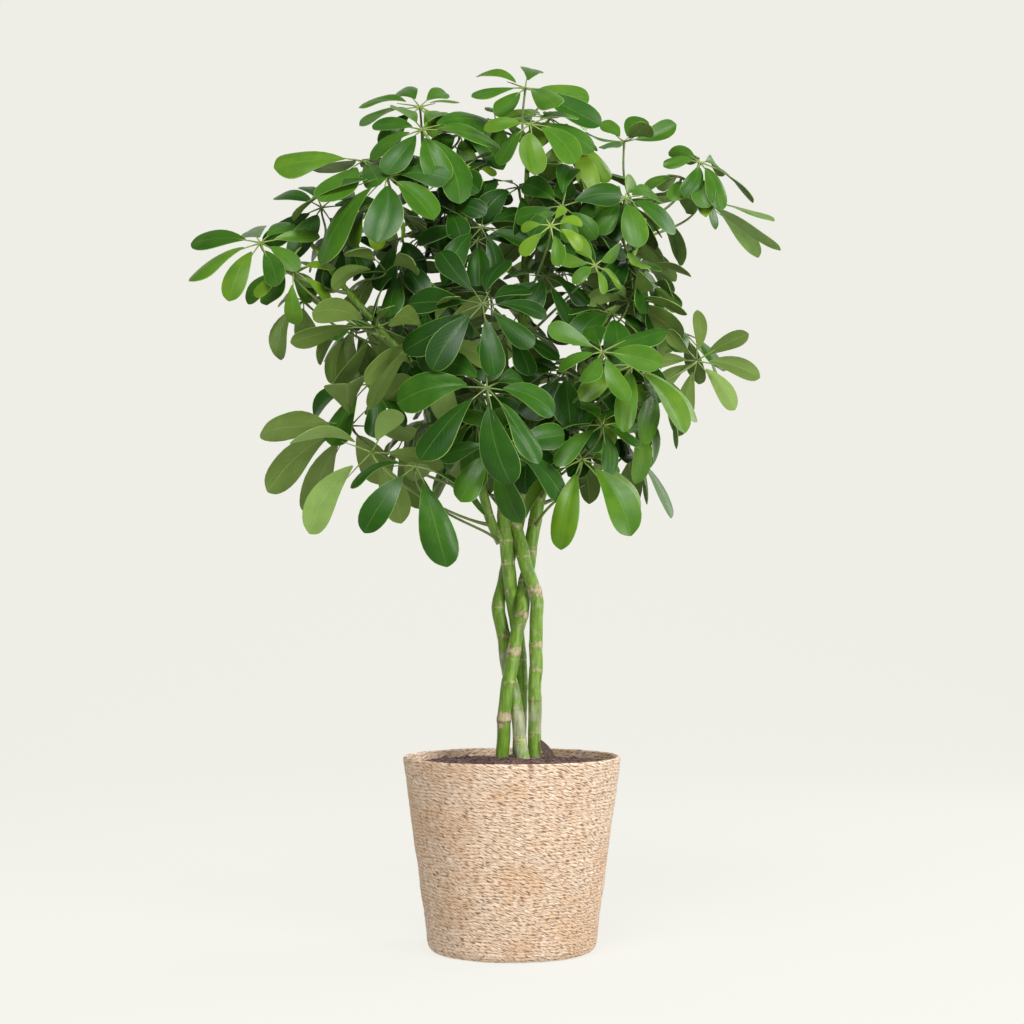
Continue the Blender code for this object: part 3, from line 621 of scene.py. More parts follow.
# %% Bark shard
SHARD_CUTS = 6
SHARD_WIDE = 0.0088
SHARD_THICK = 0.0024
SHARD_ROUGH = 0.0006
BACKWARD = Vector((0, 1, 0))
chip_low, chip_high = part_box("bark_chip")
deselect()
bpy.ops.mesh.primitive_cube_add(size=1.0)
shard = bpy.context.object
bpy.ops.object.mode_set(mode="EDIT")
bpy.ops.mesh.subdivide(number_cuts=SHARD_CUTS)
bpy.ops.object.mode_set(mode="OBJECT")
middle_y = (chip_low.y + chip_high.y) / 2
foot = Vector((chip_high.x - 0.0024, middle_y, chip_low.z + 0.0002))
tip = Vector((chip_low.x + 0.0008, middle_y, chip_high.z))
lean = (tip - foot).normalized()
side = lean.cross(BACKWARD).normalized()
rows = points_of(shard.data)
for row in rows:
    rise = row[2] + 0.5
    taper = 1.0 - 0.9 * rise ** 2.2
    rough = noise.noise(Vector(row) * 4.0) * SHARD_ROUGH
    spot = foot.lerp(tip, rise) + side * (row[0] * SHARD_WIDE * taper + rough)
    row[:] = spot + BACKWARD * (row[1] * SHARD_THICK * taper + rough)
set_points(shard.data, rows)
tidy_shell()
bpy.ops.object.shade_smooth_by_angle(angle=math.radians(30))
bark = Finish("dark_bark", 0.85)
grain_value = bark.noise(bark.place(), 420.0, 5.0)
bark_colour = bark.ramp(grain_value, (0.3, (0.04, 0.026, 0.022)), (0.7, (0.15, 0.095, 0.07)))
shard.data.materials.append(bark.wear(bark_colour, grain_value, 0.7, 0.0008))
hand_over(shard, "bark_shard", "chip", "bark_chip")
print("shard from", foot[:], "to", tip[:])

# %% [markdown]
# Four young stems were wound round each other while they could still bend. Their middle lines
# are given at a few heights, then eased and pushed apart until they only touch. The
# measured stems follow the same rule, so the bark lies exactly round them.

# %% Stem lines
STEM_RADIUS = 6.1
STEM_FOOT = 112.0
BRAID = {
    "stem_1": [(6, 13, 112), (6, 13, 168), (9, 12, 204), (11, 10, 231), (13, 8, 253),
               (11, 8, 276), (6, 9, 294), (0, 5, 312), (-5, -5, 328), (-7, -8, 345),
               (-10, -8, 366), (-8, -8, 390), (-6, -8, 409)],
    "stem_2": [(20, 2, 112), (20, 2, 168), (19, -1, 204), (19, -3, 231), (21, -6, 253),
               (24, -5, 276), (23, -4, 294), (22, -4, 312), (18, -6, 330), (12, -7, 345),
               (7, -3, 360), (1, 4, 375), (-4, 12, 410), (-12, 22, 440)],
    "stem_3": [(-9, -4, 112), (-9, -4, 168), (-8, -6, 204), (-5, -9, 222), (-2, -11, 240),
               (1, -11, 256), (5, -9, 276), (5, -9, 300), (6, -7, 314), (9, 3, 328), (14, 8, 342),
               (16, 9, 360), (16, 8, 375), (24, 13, 415), (31, 20, 440)],
    "stem_4": [(10, -13, 112), (10, -13, 168), (8, -10, 204), (5, -1, 222), (0, 4, 240),
               (-5, 3, 256), (-9, 2, 276), (-11, 0, 294), (-13, 0, 312), (-12, 5, 328),
               (-8, 9, 345), (0, 15, 360), (6, 19, 375), (9, 15, 400), (12, 6, 440)],
}
CROWN = {
    "stem_1": [(-10, -8, 364, 4.6), (-20, -12, 386, 4.5), (-30, -17, 420, 4.3),
               (-58, -28, 480, 3.9), (-105, -32, 540, 3.3), (-150, -20, 592, 2.7),
               (-180, -6, 632, 2.1)],
    "stem_2": [(-22, 34, 472, 4.9), (-45, 54, 550, 4.0), (-68, 50, 635, 3.0),
               (-82, 38, 705, 2.1)],
    "stem_3": [(50, 34, 490, 4.9), (82, 44, 560, 4.0), (108, 38, 620, 3.1), (124, 30, 668, 2.1)],
    "stem_4": [(11, 0, 500, 5.4), (10, -2, 560, 5.0), (12, -4, 610, 4.2), (13, -4, 665, 3.0),
               (14, -4, 728, 2.1)],
}
print("stems set by hand:", {name: len(line) for name, line in BRAID.items()})

# %% [markdown]
# The lines are read at even levels. At each level every stem is drawn a little towards the
# middle of its own neighbours above and below, and stems that come too close are pushed apart.
# The lowest levels stay as they are, because there the stems stand in their sockets.

# %% Ease the stems apart
BRAID_TOP = 436.0
BRAID_STEP = 18.0
BRAID_CLEAR = 13.7
BRAID_ROUNDS = 60
BRAID_FIXED = 3
BRAID_EASE = 0.25


def at_height(points, height):
    """Point of a line at a height, by straight steps between its points."""
    for low, high in zip(points, points[1:]):
        if low[2] <= height <= high[2]:
            share = (height - low[2]) / (high[2] - low[2])
            return Vector(low[:3]).lerp(Vector(high[:3]), share)
    return Vector(points[-1][:3])


def push_apart(level):
    """Move the stems of one level sideways until none is too close to another."""
    names = sorted(level)
    for i, first in enumerate(names):
        for second in names[i + 1:]:
            apart = level[first] - level[second]
            missing = BRAID_CLEAR - apart.length
            if missing > 0:
                push = apart.normalized() * missing / 2
                level[first] += push
                level[second] -= push


def ease(levels):
    """Draw each stem towards the middle of its neighbours above and below."""
    for name in BRAID:
        for low, here, high in zip(levels, levels[1:], levels[2:]):
            if name in low and name in here and name in high:
                middle = (low[name] + high[name]) / 2
                middle.z = here[name].z
                here[name] = here[name].lerp(middle, BRAID_EASE)


level_count = int((BRAID_TOP - STEM_FOOT) / BRAID_STEP) + 1
levels = []
for step in range(level_count):
    height = STEM_FOOT + BRAID_STEP * step
    levels.append({name: at_height(line, height)
                   for name, line in BRAID.items() if height <= line[-1][2]})
for _ in range(BRAID_ROUNDS):
    ease(levels[BRAID_FIXED:])
    for level in levels:
        push_apart(level)
for _ in range(BRAID_ROUNDS):
    for level in levels:
        push_apart(level)
trunks = {name: [level[name] for level in levels if name in level] for name in BRAID}
print("braid levels:", level_count)

# %% [markdown]
# Bark needs more than a plain tube. An old leaf scar leaves a tan ring with a slight swelling,
# and the bark bulges a little between two scars. A curve carries a radius at each of its points,
# so rings and bulges are only numbers along the line.

# %% Scars and woody bark
SCARS = {
    "stem_1": [(206, 0.5), (234, 0.6), (262, 0.8), (291, 0.6), (318, 0.7), (345, 0.9), (366, 0.9),
               (388, 0.7)],
    "stem_2": [(194, 0.6), (224, 0.8), (250, 0.6), (272, 0.9), (321, 1.6), (352, 0.8), (380, 0.8),
               (408, 0.7)],
    "stem_3": [(206, 1.7), (240, 0.8), (267, 1.5), (299, 1.0), (330, 0.8), (356, 0.9), (384, 0.8),
               (410, 0.7)],
    "stem_4": [(188, 0.8), (216, 0.7), (247, 0.9), (281, 0.8), (306, 0.7), (336, 0.8), (371, 0.9),
               (405, 0.7)],
}
WOODY = {"stem_1": (0.1, 60.0), "stem_2": (0.12, 60.0), "stem_3": (-0.05, 30.0),
         "stem_4": (0.28, 60.0)}
WOODY_BELOW = 225.0
# The second mark lies just under each scar, where painted shade darkens the bark.
MARKS = (("scar", 0.0, 0.9), ("shade_under_scar", 1.7, 0.6), ("scab", 0.0, 8.0))


def scar_at(name, height, spread):
    """How strongly a leaf scar shows at a height, within a spread."""
    return max(strength * math.exp(-((height - scar) / spread) ** 2)
               for scar, strength in SCARS[name])


def woody_at(name, level):
    """How far the bark has turned grey: most near the foot, and each stem in its own way."""
    most, reach = WOODY[name]
    return most * max(0.0, 1.0 - max(0.0, level - WOODY_BELOW) / reach)


def store_marks(mesh, name, values):
    """Store one number on every point of a mesh."""
    mesh.attributes.new(name, "FLOAT", "POINT").data.foreach_set("value", values)


print("leaf scars:", sum(len(rows) for rows in SCARS.values()))

# %% [markdown]
# A stem, a shoot and a leaf's stalk are all round rods that follow a line. The line is drawn
# through its given points as one smooth curve, and a Blender curve with a round bevel makes the
# rod, which is then turned into a mesh.

# %% A rod along a line
TUBE_STEP = 2.5


def smooth_line(points, radii, gap=TUBE_STEP):
    """Close-set points and radii along a curve that passes through the given ones."""
    rows = [Vector((*point, radius)) for point, radius in zip(points, radii)]
    rows = [rows[0] * 2 - rows[1]] + rows + [rows[-1] * 2 - rows[-2]]
    made = []
    for before, low, high, after in zip(rows, rows[1:], rows[2:], rows[3:]):
        count = max(1, round((high - low).length / gap))
        for step in range(count):
            t = step / count
            made.append(0.5 * (2 * low + (high - before) * t
                               + (2 * before - 5 * low + 4 * high - after) * t ** 2
                               + (3 * low - before - 3 * high + after) * t ** 3))
    made.append(rows[-2])
    return [row.to_3d() for row in made], [row.w for row in made]


def tube(points, radii, roundness):
    """A closed tube along points in millimetres, made from a curve."""
    deselect()
    bpy.ops.curve.primitive_nurbs_path_add()
    piece = bpy.context.object
    curve = piece.data
    curve.splines.clear()
    spline = curve.splines.new("POLY")
    spline.points.add(len(points) - 1)
    for knot, point, radius in zip(spline.points, points, radii):
        knot.co = (*(Vector(point) * MM), 1.0)
        knot.radius = radius
    curve.dimensions = "3D"
    curve.bevel_depth = MM
    curve.bevel_resolution = roundness
    curve.use_fill_caps = True
    bpy.ops.object.convert(target="MESH")
    tidy_shell()
    return bpy.context.object


trial, _ = smooth_line(trunks["stem_1"], [STEM_RADIUS] * len(trunks["stem_1"]))
print("points along the first stem's braid:", len(trial))

# %% [markdown]
# Each stem is one rod from just under the soil to its topmost leaf. The first one was cut back
# long ago, so it ends in a stub with a younger shoot beside it.

# %% Stem bodies
SHOWS_ABOVE = 140.0
BULGE = 0.25
SCAR_SWELL = 0.45
KINK = 1.1
KINK_RATE = 0.045


def swollen(name, line, radii):
    """Radii that swell at the scars and bulge gently in between."""
    grown = []
    for index, (point, radius) in enumerate(zip(line, radii)):
        bulge = BULGE * noise.noise(Vector((index * 0.13, 0.0, ord(name[-1]))))
        swell = min(SCAR_SWELL * scar_at(name, point.z, 2.2), 0.6)
        grown.append(radius - 0.1 + swell + bulge)
    return grown


def crooked(name, line):
    """A line with the slight kinks of a living stem."""
    seed = float(ord(name[-1]))
    made = []
    for point in line:
        kinks = [noise.noise(Vector((point.z * KINK_RATE, seed, part))) for part in (0.0, 7.0)]
        made.append(point + Vector((*kinks, 0.0)) * KINK)
    return made


stems = {}
for name, trunk in trunks.items():
    points = [point for point in trunk if point.z > SHOWS_ABOVE]
    radii = [STEM_RADIUS] * len(points)
    upper = [Vector(row[:3]) for row in CROWN[name]]
    upper_radii = [row[3] for row in CROWN[name]]
    if name == "stem_1":
        points += [Vector((-6, -8, 406)), Vector((-6, -8, 408))]
        radii += [STEM_RADIUS - 0.6, STEM_RADIUS - 2.2]
    else:
        points += upper
        radii += [radius - 0.15 for radius in upper_radii]
    line, radii = smooth_line(points, radii)
    stems[name] = tube(crooked(name, line), swollen(name, line, radii), 7)
    if name == "stem_1":
        shoot = tube(*smooth_line(upper, upper_radii), 5)
        pick(stems[name])
        shoot.select_set(True)
        bpy.ops.object.join()
    mesh = stems[name].data
    levels_of = [point.co.z / MM for point in mesh.vertices]
    for mark, above, spread in MARKS:
        store_marks(mesh, mark, [scar_at(name, level + above, spread) for level in levels_of])
    store_marks(mesh, "woody", [woody_at(name, level) for level in levels_of])
    pick(stems[name])
    bpy.ops.object.shade_smooth_by_angle(angle=math.radians(50))
print("stem faces:", {name: len(piece.data.polygons) for name, piece in stems.items()})

# %% [markdown]
# Young bark is green, with pale grey-green patches where it has begun to turn woody, fine
# upright streaks, and small raised dots through which it breathes. The scars are tan, and a thin
# dark line just under each scar's swelling is painted shade.

# %% Bark finish
skin = Finish("green_bark", 0.5)
where = skin.place()
stretched = skin.node("Mapping", {"Vector": where, "Scale": (1.0, 1.0, 0.14)}).outputs["Vector"]
streaks = skin.noise(stretched, 380.0, 5.0)
patches = skin.noise(where, 60.0, 4.0)
dots = skin.node("TexVoronoi", {"Vector": where, "Scale": 330.0}).outputs["Distance"]
green = skin.ramp(streaks, (0.28, (0.070, 0.160, 0.008)), (0.55, (0.150, 0.290, 0.020)),
                  (0.8, (0.28, 0.42, 0.06)))
woody = skin.ramp(streaks, (0.3, (0.20, 0.21, 0.10)), (0.7, (0.45, 0.47, 0.31)))
woodiness = skin.band(skin.math("ADD", patches, skin.stored("woody")), 0.56, 0.80)
tint = skin.stain(green, woodiness, 0.85, woody)
tint = skin.stain(tint, skin.band(dots, 0.16, 0.06), 0.5, (0.38, 0.32, 0.20, 1.0))
blotches = skin.noise(where, 130.0, 6.0, 0.7)
scab_tan = skin.ramp(streaks, (0.3, (0.33, 0.20, 0.13)), (0.6, (0.60, 0.45, 0.31)))
scab = skin.band(skin.times_add(skin.stored("scab"), 0.13, blotches), 0.62, 0.70)
tint = skin.stain(tint, scab, 0.75, scab_tan)
ring = skin.times(skin.band(skin.stored("scar"), 0.3, 0.8), skin.band(blotches, 0.32, 0.5))
tint = skin.stain(tint, ring, 0.75, (0.50, 0.40, 0.25, 1.0))
# A thin dark line just under each scar's swelling: painted shade.
tint = skin.stain(tint, skin.band(skin.stored("shade_under_scar"), 0.3, 0.9), 0.6, (0.09, 0.065, 0.035, 1.0))
ridge = skin.times_add(streaks, 0.35, skin.times(skin.band(dots, 0.2, 0.05), 0.4))
ridge = skin.times_add(scab, 0.5, ridge)
bark_material = skin.wear(tint, ridge, 0.6, 0.0007, skin.times_add(streaks, 0.25, 0.36))
for name, piece in stems.items():
    piece.data.materials.append(bark_material)
    hand_over(piece, "bark_" + name, "stem", name)
print("stem triangles:", sum(triangles_of(piece) for piece in stems.values()))

# %% [markdown]
# Every leaf is a fan of leaflets round a small hub. Its record gives the number of the stem it
# grows from, the hub, where its upper side faces, its longest leaflet, the number of leaflets, the
# droop, the turn of the first leaflet, the side where the leaflets are longest, and its tone, from
# 0 for a dark old leaf to 1 for a fresh yellow-green one. Low tones also hold painted shade where
# a leaf lies deep in the crown. These records were read off the front of the plant.

# %% Leaf records
Leaf = namedtuple("Leaf", "stem hub azimuth elevation length count droop turn lead tone")


def leaf_rows(*rows):
    """Leaf records from plain rows that begin with the number of their stem."""
    return [Leaf("stem_%d" % stem, *rest) for stem, *rest in rows]


LEAVES = leaf_rows(
    (4, (12, -10, 774), -85, 50, 68, 7, 0, 18, 100, 0.5),
    (2, (-80, -30, 732), -92, 44, 82, 9, 6, 12, 90, 0.45),
    (2, (-110, -50, 686), -100, 46, 96, 8, 18, 0, -75, 0.33),
    (1, (-225, -20, 632), -100, 50, 74, 8, 8, 20, -90, 0.55),
    (3, (102, 10, 730), -90, 62, 54, 6, -34, 30, 60, 0.45),
    (3, (100, -40, 669), -85, 35, 56, 7, 16, 10, 20, 0.5),
    (3, (172, 20, 712), -60, 46, 58, 7, 24, 10, 50, 0.5),
    (3, (176, 54, 684), -20, 72, 88, 7, 10, 15, 60, 0.85),
    (4, (44, -56, 657), -90, 20, 62, 7, 8, 10, 180, 0.3),
    (4, (16, -34, 732), -90, 40, 64, 8, 20, 0, 60, 0.54),
    (3, (60, -24, 728), -75, 42, 58, 7, 28, 0, 20, 0.85),
    (4, (-27, -50, 641), -80, 32, 68, 7, 6, 15, -110, 0.08),
    (4, (-25, -120, 564), -90, 30, 84, 9, 8, 10, -90, 0.06),
    (4, (33, -112, 632), -90, 25, 40, 7, 22, 0, 0, 0.72),
    (1, (-194, -30, 604), -90, 25, 48, 6, 30, 0, 30, 0.75),
    (1, (-118, -60, 550), 110, 58, 82, 7, 14, 0, 80, 0.36),
    (1, (-190, 0, 585), 150, 45, 60, 7, 30, 0, 20, 0.5),
    (1, (-175, 34, 673), -80, 28, 76, 7, 20, 10, 10, 0.2),
    (1, (-144, -20, 468), 125, 45, 98, 7, 8, 0, 80, 0.4),
    (1, (-122, -70, 441), 105, 34, 82, 5, 14, 52, 40, 0.55),
    (4, (-70, -82, 527), 115, 42, 88, 7, 22, 12, 35, 0.5),
    (1, (-82, -106, 426), -75, 58, 94, 5, 46, 18, 18, 0.24),
    (4, (-21, -140, 491), -90, 36, 88, 8, 24, 0, -30, 0.18),
    (4, (-4, -136, 431), -90, 28, 76, 7, 12, 26, 30, 0.42),
    (3, (165, -20, 526), 80, 16, 62, 8, 4, 10, -50, 0.36),
    (4, (76, -124, 523), -90, 35, 64, 7, 4, 25, 140, 0.45),
    (3, (96, -78, 515), -62, 42, 80, 8, 24, 15, 60, 0.62),
    (3, (78, -108, 464), -90, 42, 62, 7, 22, 0, -100, 0.46),
    (3, (60, -88, 434), -90, 52, 88, 7, 38, 8, 0, 0.66),
    (3, (102, -38, 490), -35, 52, 80, 7, 40, 0, 20, 0.64),
    (1, (-44, -60, 462), -100, 60, 66, 6, 50, 0, 0, 0.3),
    (4, (72, -80, 610), -70, 25, 46, 6, 10, 0, 180, 0.66),
    (3, (104, -30, 578), 80, 50, 66, 7, 14, 0, -80, 0.5),
    (3, (119, 66, 626), 30, 78, 58, 7, 14, 0, -90, 0.25),
    (2, (-41, -20, 699), -90, 45, 34, 7, 4, 0, 180, 0.7),
    (1, (-127, -20, 606), 80, 60, 88, 7, 24, 0, -80, 0.35),
)
print("leaves set by hand:", len(LEAVES))

# %% [markdown]
# The back of the crown is as full as the front, so its leaves follow one rule. Each is turned
# from the last by the golden angle, as new leaves are on a living stem, so none hides another.

# %% Leaves of the back
GOLDEN_ANGLE = 137.508
BACK_LEAVES = 15
BACK_FIRST = 8.0
BACK_SPAN = 164.0
BACK_REACH = 130.0
BACK_LOW = 440.0
BACK_RISE = 275.0


def back_leaves():
    """Leaves of the back of the crown, spread by the golden angle from low to high."""
    made = []
    for index in range(BACK_LEAVES):
        share = (index + 0.5) / BACK_LEAVES
        azimuth = BACK_FIRST + (index * GOLDEN_ANGLE) % BACK_SPAN
        reach = BACK_REACH * (0.78 + 0.5 * math.sin(math.pi * share))
        turn = math.radians(azimuth)
        hub = (reach * math.cos(turn), 20.0 + reach * math.sin(turn), BACK_LOW + BACK_RISE * share)
        stem = "stem_3" if hub[0] > 20.0 else "stem_2"
        made.append(Leaf(stem, hub, azimuth, elevation=48.0 + 12.0 * share,
                         length=78.0 - 10.0 * share, count=7 + index % 2, droop=32.0,
                         turn=15 * index, lead=0, tone=0.25 + 0.35 * share))
    return made


records = LEAVES + back_leaves()
print("leaf records:", len(records))

# %% [markdown]
# A leaflet's middle line leaves the hub along the leaf's plane, bends with the droop, and sags a
# little under its own weight. All leaflets of a leaf are worked out together, as arrays.

# %% Middle lines of a leaf
BLADE = 0.8
HUB_RADIUS = 3.6
NECK_HALF = 1.2
CURVE_STEPS = 12
NECK_STEP = 2
WIDEST_STEP = 7
TIP_SHARE = 0.52
SHORTEST = 0.34
EVERY_OTHER = 2.5
SAG = 0.22
WIDTH_OF_LENGTH = 0.46
WIDTH_OF_SLICE = 1.05


def leaf_axes(leaf):
    """Where the upper side faces, the downhill direction in the leaf's plane, and across."""
    level = math.cos(math.radians(leaf.elevation))
    turn = math.radians(leaf.azimuth)
    axis = np.array([level * math.cos(turn), level * math.sin(turn),
                     math.sin(math.radians(leaf.elevation))])
    downhill = np.array([0.0, 0.0, -1.0]) + axis * axis[2]
    downhill /= np.linalg.norm(downhill)
    return axis, downhill, np.cross(axis, downhill)


def unit(rows):
    """Rows of an array made one unit long."""
    return rows / np.linalg.norm(rows, axis=-1, keepdims=True)


def middle_lines(leaf):
    """Points, directions and sideways vectors of all leaflets, with their lengths."""
    axis, downhill, across = leaf_axes(leaf)
    number = np.arange(leaf.count)
    angles = leaf.turn + 360.0 * number / leaf.count
    lengths = leaf.length * (1 - SHORTEST * (1 - np.cos(np.radians(angles - leaf.lead))) / 2)
    turns = np.radians(angles)[:, None]
    outward = downhill * np.cos(turns) + across * np.sin(turns)
    share = np.arange(CURVE_STEPS + 1) / CURVE_STEPS
    lift = np.where(number % 2, EVERY_OTHER, -EVERY_OTHER)
    tilt = np.radians(leaf.droop * (0.35 + 0.9 * share)[None] + lift[:, None])[..., None]
    along = outward[:, None] * np.cos(tilt) - axis * np.sin(tilt)
    along[..., 2] -= SAG * share
    along = unit(along)
    sideways = np.cross(axis, outward)[:, None]
    wide = unit(sideways - along * (sideways * along).sum(-1, keepdims=True))
    steps = along[:, :-1] * ((lengths - HUB_RADIUS) / CURVE_STEPS)[:, None, None]
    start = np.asarray(leaf.hub) + outward * HUB_RADIUS
    walked = np.concatenate([steps[:, :1] * 0, np.cumsum(steps, axis=1)], axis=1)
    points = start[:, None] + walked
    return points, along, wide, lengths


def leaflet_widths(leaf, points, lengths):
    """Widest part of each leaflet, kept inside its own slice of the fan."""
    axis = leaf_axes(leaf)[0]
    reach = points[:, WIDEST_STEP] - leaf.hub
    level = np.linalg.norm(reach - axis * (reach @ axis)[:, None], axis=1)
    slices = WIDTH_OF_SLICE * 2 * level * math.tan(math.pi / leaf.count)
    return np.minimum(WIDTH_OF_LENGTH * lengths, slices)


print("leaflet lengths of the first leaf:", middle_lines(records[0])[3].round(1))

# %% [markdown]
# When the crown was put together, each leaf was nudged until it had room: a little shorter, or
# turned, or narrower, or moved. The measured box of the leaf tells which nudge it got. Every
# nudge is tried here, and the one whose outline meets the most sides of the box is kept.

# %% Find each leaf's settled place
NUDGE_TURNS = (0, 12, -12, 24)
NUDGE_DEPTHS = (0, -9, 9, -18, 18, -28, 28, -40, 40)
NUDGE_SIDES = (0, -7, 7, -14, 14)
NUDGE_MOVES = (NUDGE_SIDES, NUDGE_DEPTHS, NUDGE_SIDES)
NUDGE_WIDTHS = (1.0, 0.9, 0.8)
NUDGE_LENGTHS = (1.0, 0.88, 0.76)
MEETS = 0.02


def leaf_outline(leaf, lines, width):
    """Corners of the flat leaf: the hub's rim and three rows of every leaflet."""
    axis, downhill, across = leaf_axes(leaf)
    points, along, wide, lengths = lines
    widest = width * leaflet_widths(leaf, points, lengths) / 2
    neck = np.full(leaf.count, NECK_HALF)
    corners = []
    for step, half in ((NECK_STEP, neck), (WIDEST_STEP, widest), (CURVE_STEPS, widest * TIP_SHARE)):
        side = wide[:, step] * half[:, None]
        lift = np.cross(along[:, step], wide[:, step]) * BLADE / 2
        for across_sign in (-1, 1):
            for lift_sign in (-1, 1):
                corners.append(points[:, step] + side * across_sign + lift * lift_sign)
    turns = np.radians(leaf.turn + (360.0 * np.arange(leaf.count) - 180.0) / leaf.count)[:, None]
    outward = downhill * np.cos(turns) + across * np.sin(turns)
    rim = leaf.hub + outward * HUB_RADIUS / math.cos(math.pi / leaf.count)
    corners += [rim + axis * BLADE / 2, rim - axis * BLADE / 2]
    return np.concatenate(corners)


def best_move(missing_low, missing_high, moves):
    """The allowed move of one axis that meets most sides of the box, and how many it meets."""
    best = (-1, 0)
    for move in moves:
        if missing_low <= move + MEETS and missing_high >= move - MEETS:
            met = int(abs(missing_low - move) < MEETS) + int(abs(missing_high - move) < MEETS)
            if met > best[0]:
                best = (met, move)
    return best


def settled(leaf, node):
    """The leaf with the nudge that its measured box shows, and the sides that agree."""
    low, high = [np.array(corner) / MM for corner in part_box(node)]
    leaf = leaf._replace(hub=np.array(leaf.hub, float))
    found = (0, None, None)
    for share, turn in itertools.product(NUDGE_LENGTHS, NUDGE_TURNS):
        moved = leaf._replace(length=leaf.length * share, turn=leaf.turn + turn)
        lines = middle_lines(moved)
        for width in NUDGE_WIDTHS:
            corners = leaf_outline(moved, lines, width)
            missing = low - corners.min(0), high - corners.max(0)
            moves = [best_move(*gap) for gap in zip(*missing, NUDGE_MOVES)]
            met = sum(count for count, _ in moves)
            if min(count for count, _ in moves) >= 0 and met > found[0]:
                shift = np.array([move for _, move in moves], float)
                found = (met, moved._replace(hub=moved.hub + shift), width)
    return found


crown = [settled(leaf, "leaf_%02d" % number) for number, leaf in enumerate(records, start=1)]
print("sides of the box met, leaf by leaf:", [met for met, _, _ in crown])

# %% [markdown]
# The top of a leaflet is a leathery green with a fine pale midrib, faint side veins and a thin
# pale edge. The underside is paler and dull, and its midrib stands out; its palest colours are
# partly light shining through the leaf, painted in. Both read the leaflet's own surface map, and a
# tone that is stored on its points.


# %% Leaflet finishes
def vein_marks(finish):
    """Strength of the midrib, the side veins and the edge on a leaflet."""
    across, along = finish.split_uv()
    from_middle = finish.from_half(across)
    midrib = finish.band(from_middle, 0.024, 0.006)
    slant = finish.times_add(from_middle, -7.0, finish.times(along, 13.0))
    fraction = finish.from_half(finish.math("FRACT", slant))
    side_veins = finish.times(finish.band(fraction, 0.10, 0.0), finish.band(from_middle, 0.48, 0.1))
    edge = finish.band(from_middle, 0.478, 0.496)
    return midrib, side_veins, edge


def tone_of(finish, spread):
    """The leaf's stored tone with a little cloudiness added."""
    cloud = finish.math("SUBTRACT", finish.noise(finish.place(), 55.0, 3.0), 0.5)
    return finish.times_add(cloud, spread, finish.stored("tone"))


top = Finish("glossy_leaf_top", 0.35)
top.shader.inputs["Specular IOR Level"].default_value = 0.2
midrib, side_veins, edge = vein_marks(top)
# Low tones give near-black green; in part this is painted shade where a leaf lies deep in the
# crown.
top_colour = top.ramp(tone_of(top, 0.4),
                      (0.0, (0.008, 0.040, 0.002)), (0.3, (0.020, 0.080, 0.004)),
                      (0.6, (0.052, 0.140, 0.008)), (1.0, (0.150, 0.250, 0.012)))
top_colour = top.stain(top_colour, side_veins, 0.12, (0.10, 0.20, 0.04, 1.0))
top_colour = top.stain(top_colour, midrib, 0.28, (0.13, 0.25, 0.04, 1.0))
top_colour = top.stain(top_colour, edge, 0.7, (0.22, 0.36, 0.08, 1.0))
top_rise = top.times_add(side_veins, -0.2, top.times(midrib, -0.6))
top_rise = top.math("ADD", top_rise, top.times(top.noise(top.place(), 500.0, 2.0), 0.2))
top_gloss = top.times_add(top.noise(top.place(), 90.0, 3.0), 0.26, 0.24)
leaf_top = top.wear(top_colour, top_rise, 0.3, 0.0005, top_gloss)

under = Finish("dull_leaf_underside", 0.62)
under.shader.inputs["Specular IOR Level"].default_value = 0.25
midrib, side_veins, _ = vein_marks(under)
# The pale end of this ramp is partly painted light shining through the leaf, and the dark end
# partly painted shade.
under_colour = under.ramp(tone_of(under, 0.4), (0.0, (0.060, 0.110, 0.016)),
                          (0.45, (0.135, 0.210, 0.038)), (1.0, (0.260, 0.430, 0.110)))
under_colour = under.stain(under_colour, side_veins, 0.15, (0.28, 0.42, 0.14, 1.0))
under_colour = under.stain(under_colour, midrib, 0.4, (0.26, 0.38, 0.10, 1.0))
under_rise = under.times_add(side_veins, 0.3, midrib)
grit = under.times(under.noise(under.place(), 700.0, 2.0), 0.3)
leaf_under = under.wear(under_colour, under.math("ADD", under_rise, grit), 0.35, 0.0006)

stalk = Finish("smooth_leaf_stalk", 0.45)
stalk_colour = stalk.ramp(tone_of(stalk, 0.5), (0.0, (0.070, 0.110, 0.022)),
                          (0.5, (0.160, 0.230, 0.045)), (1.0, (0.270, 0.360, 0.070)))
stalk_rise = stalk.noise(stalk.place(), 800.0, 2.0)
leaf_stalk = stalk.wear(stalk_colour, stalk_rise, 0.2, 0.0003)
print("leaf finishes:", leaf_top.name, leaf_under.name, leaf_stalk.name)

# %% [markdown]
# One leaflet is modelled flat, one unit long and one unit to each side. It starts as a grid. Its
# rows are pulled in to the outline of an umbrella plant's leaflet, which is narrow at its stalk,
# widest past the middle and blunt at its tip. Solidify then gives it a second side, so the
# glossy top and the pale underside can have their own finish. It has few faces, because it is
# repeated about eight hundred times.

# %% One flat leaflet
BLADE_ROWS = (0.0, 0.07, 0.16, 0.27, 0.39, 0.51, 0.62, 0.72, 0.81, 0.88, 0.93, 0.965, 0.988, 1.0)
BLADE_STEPS = len(BLADE_ROWS) - 1
BLADE_COLUMNS = 6
BLADE_START = 0.15
ROUND_ROWS = 3
ROUND_TIP = 0.006


def half_outline(share):
    """Half the width of a leaflet at a share of its blade."""
    full = share ** 0.75 * (1.0 - share ** 2.8) ** 0.58 / 0.5886
    return max(full, 0.05 if share < 0.5 else 0.1)


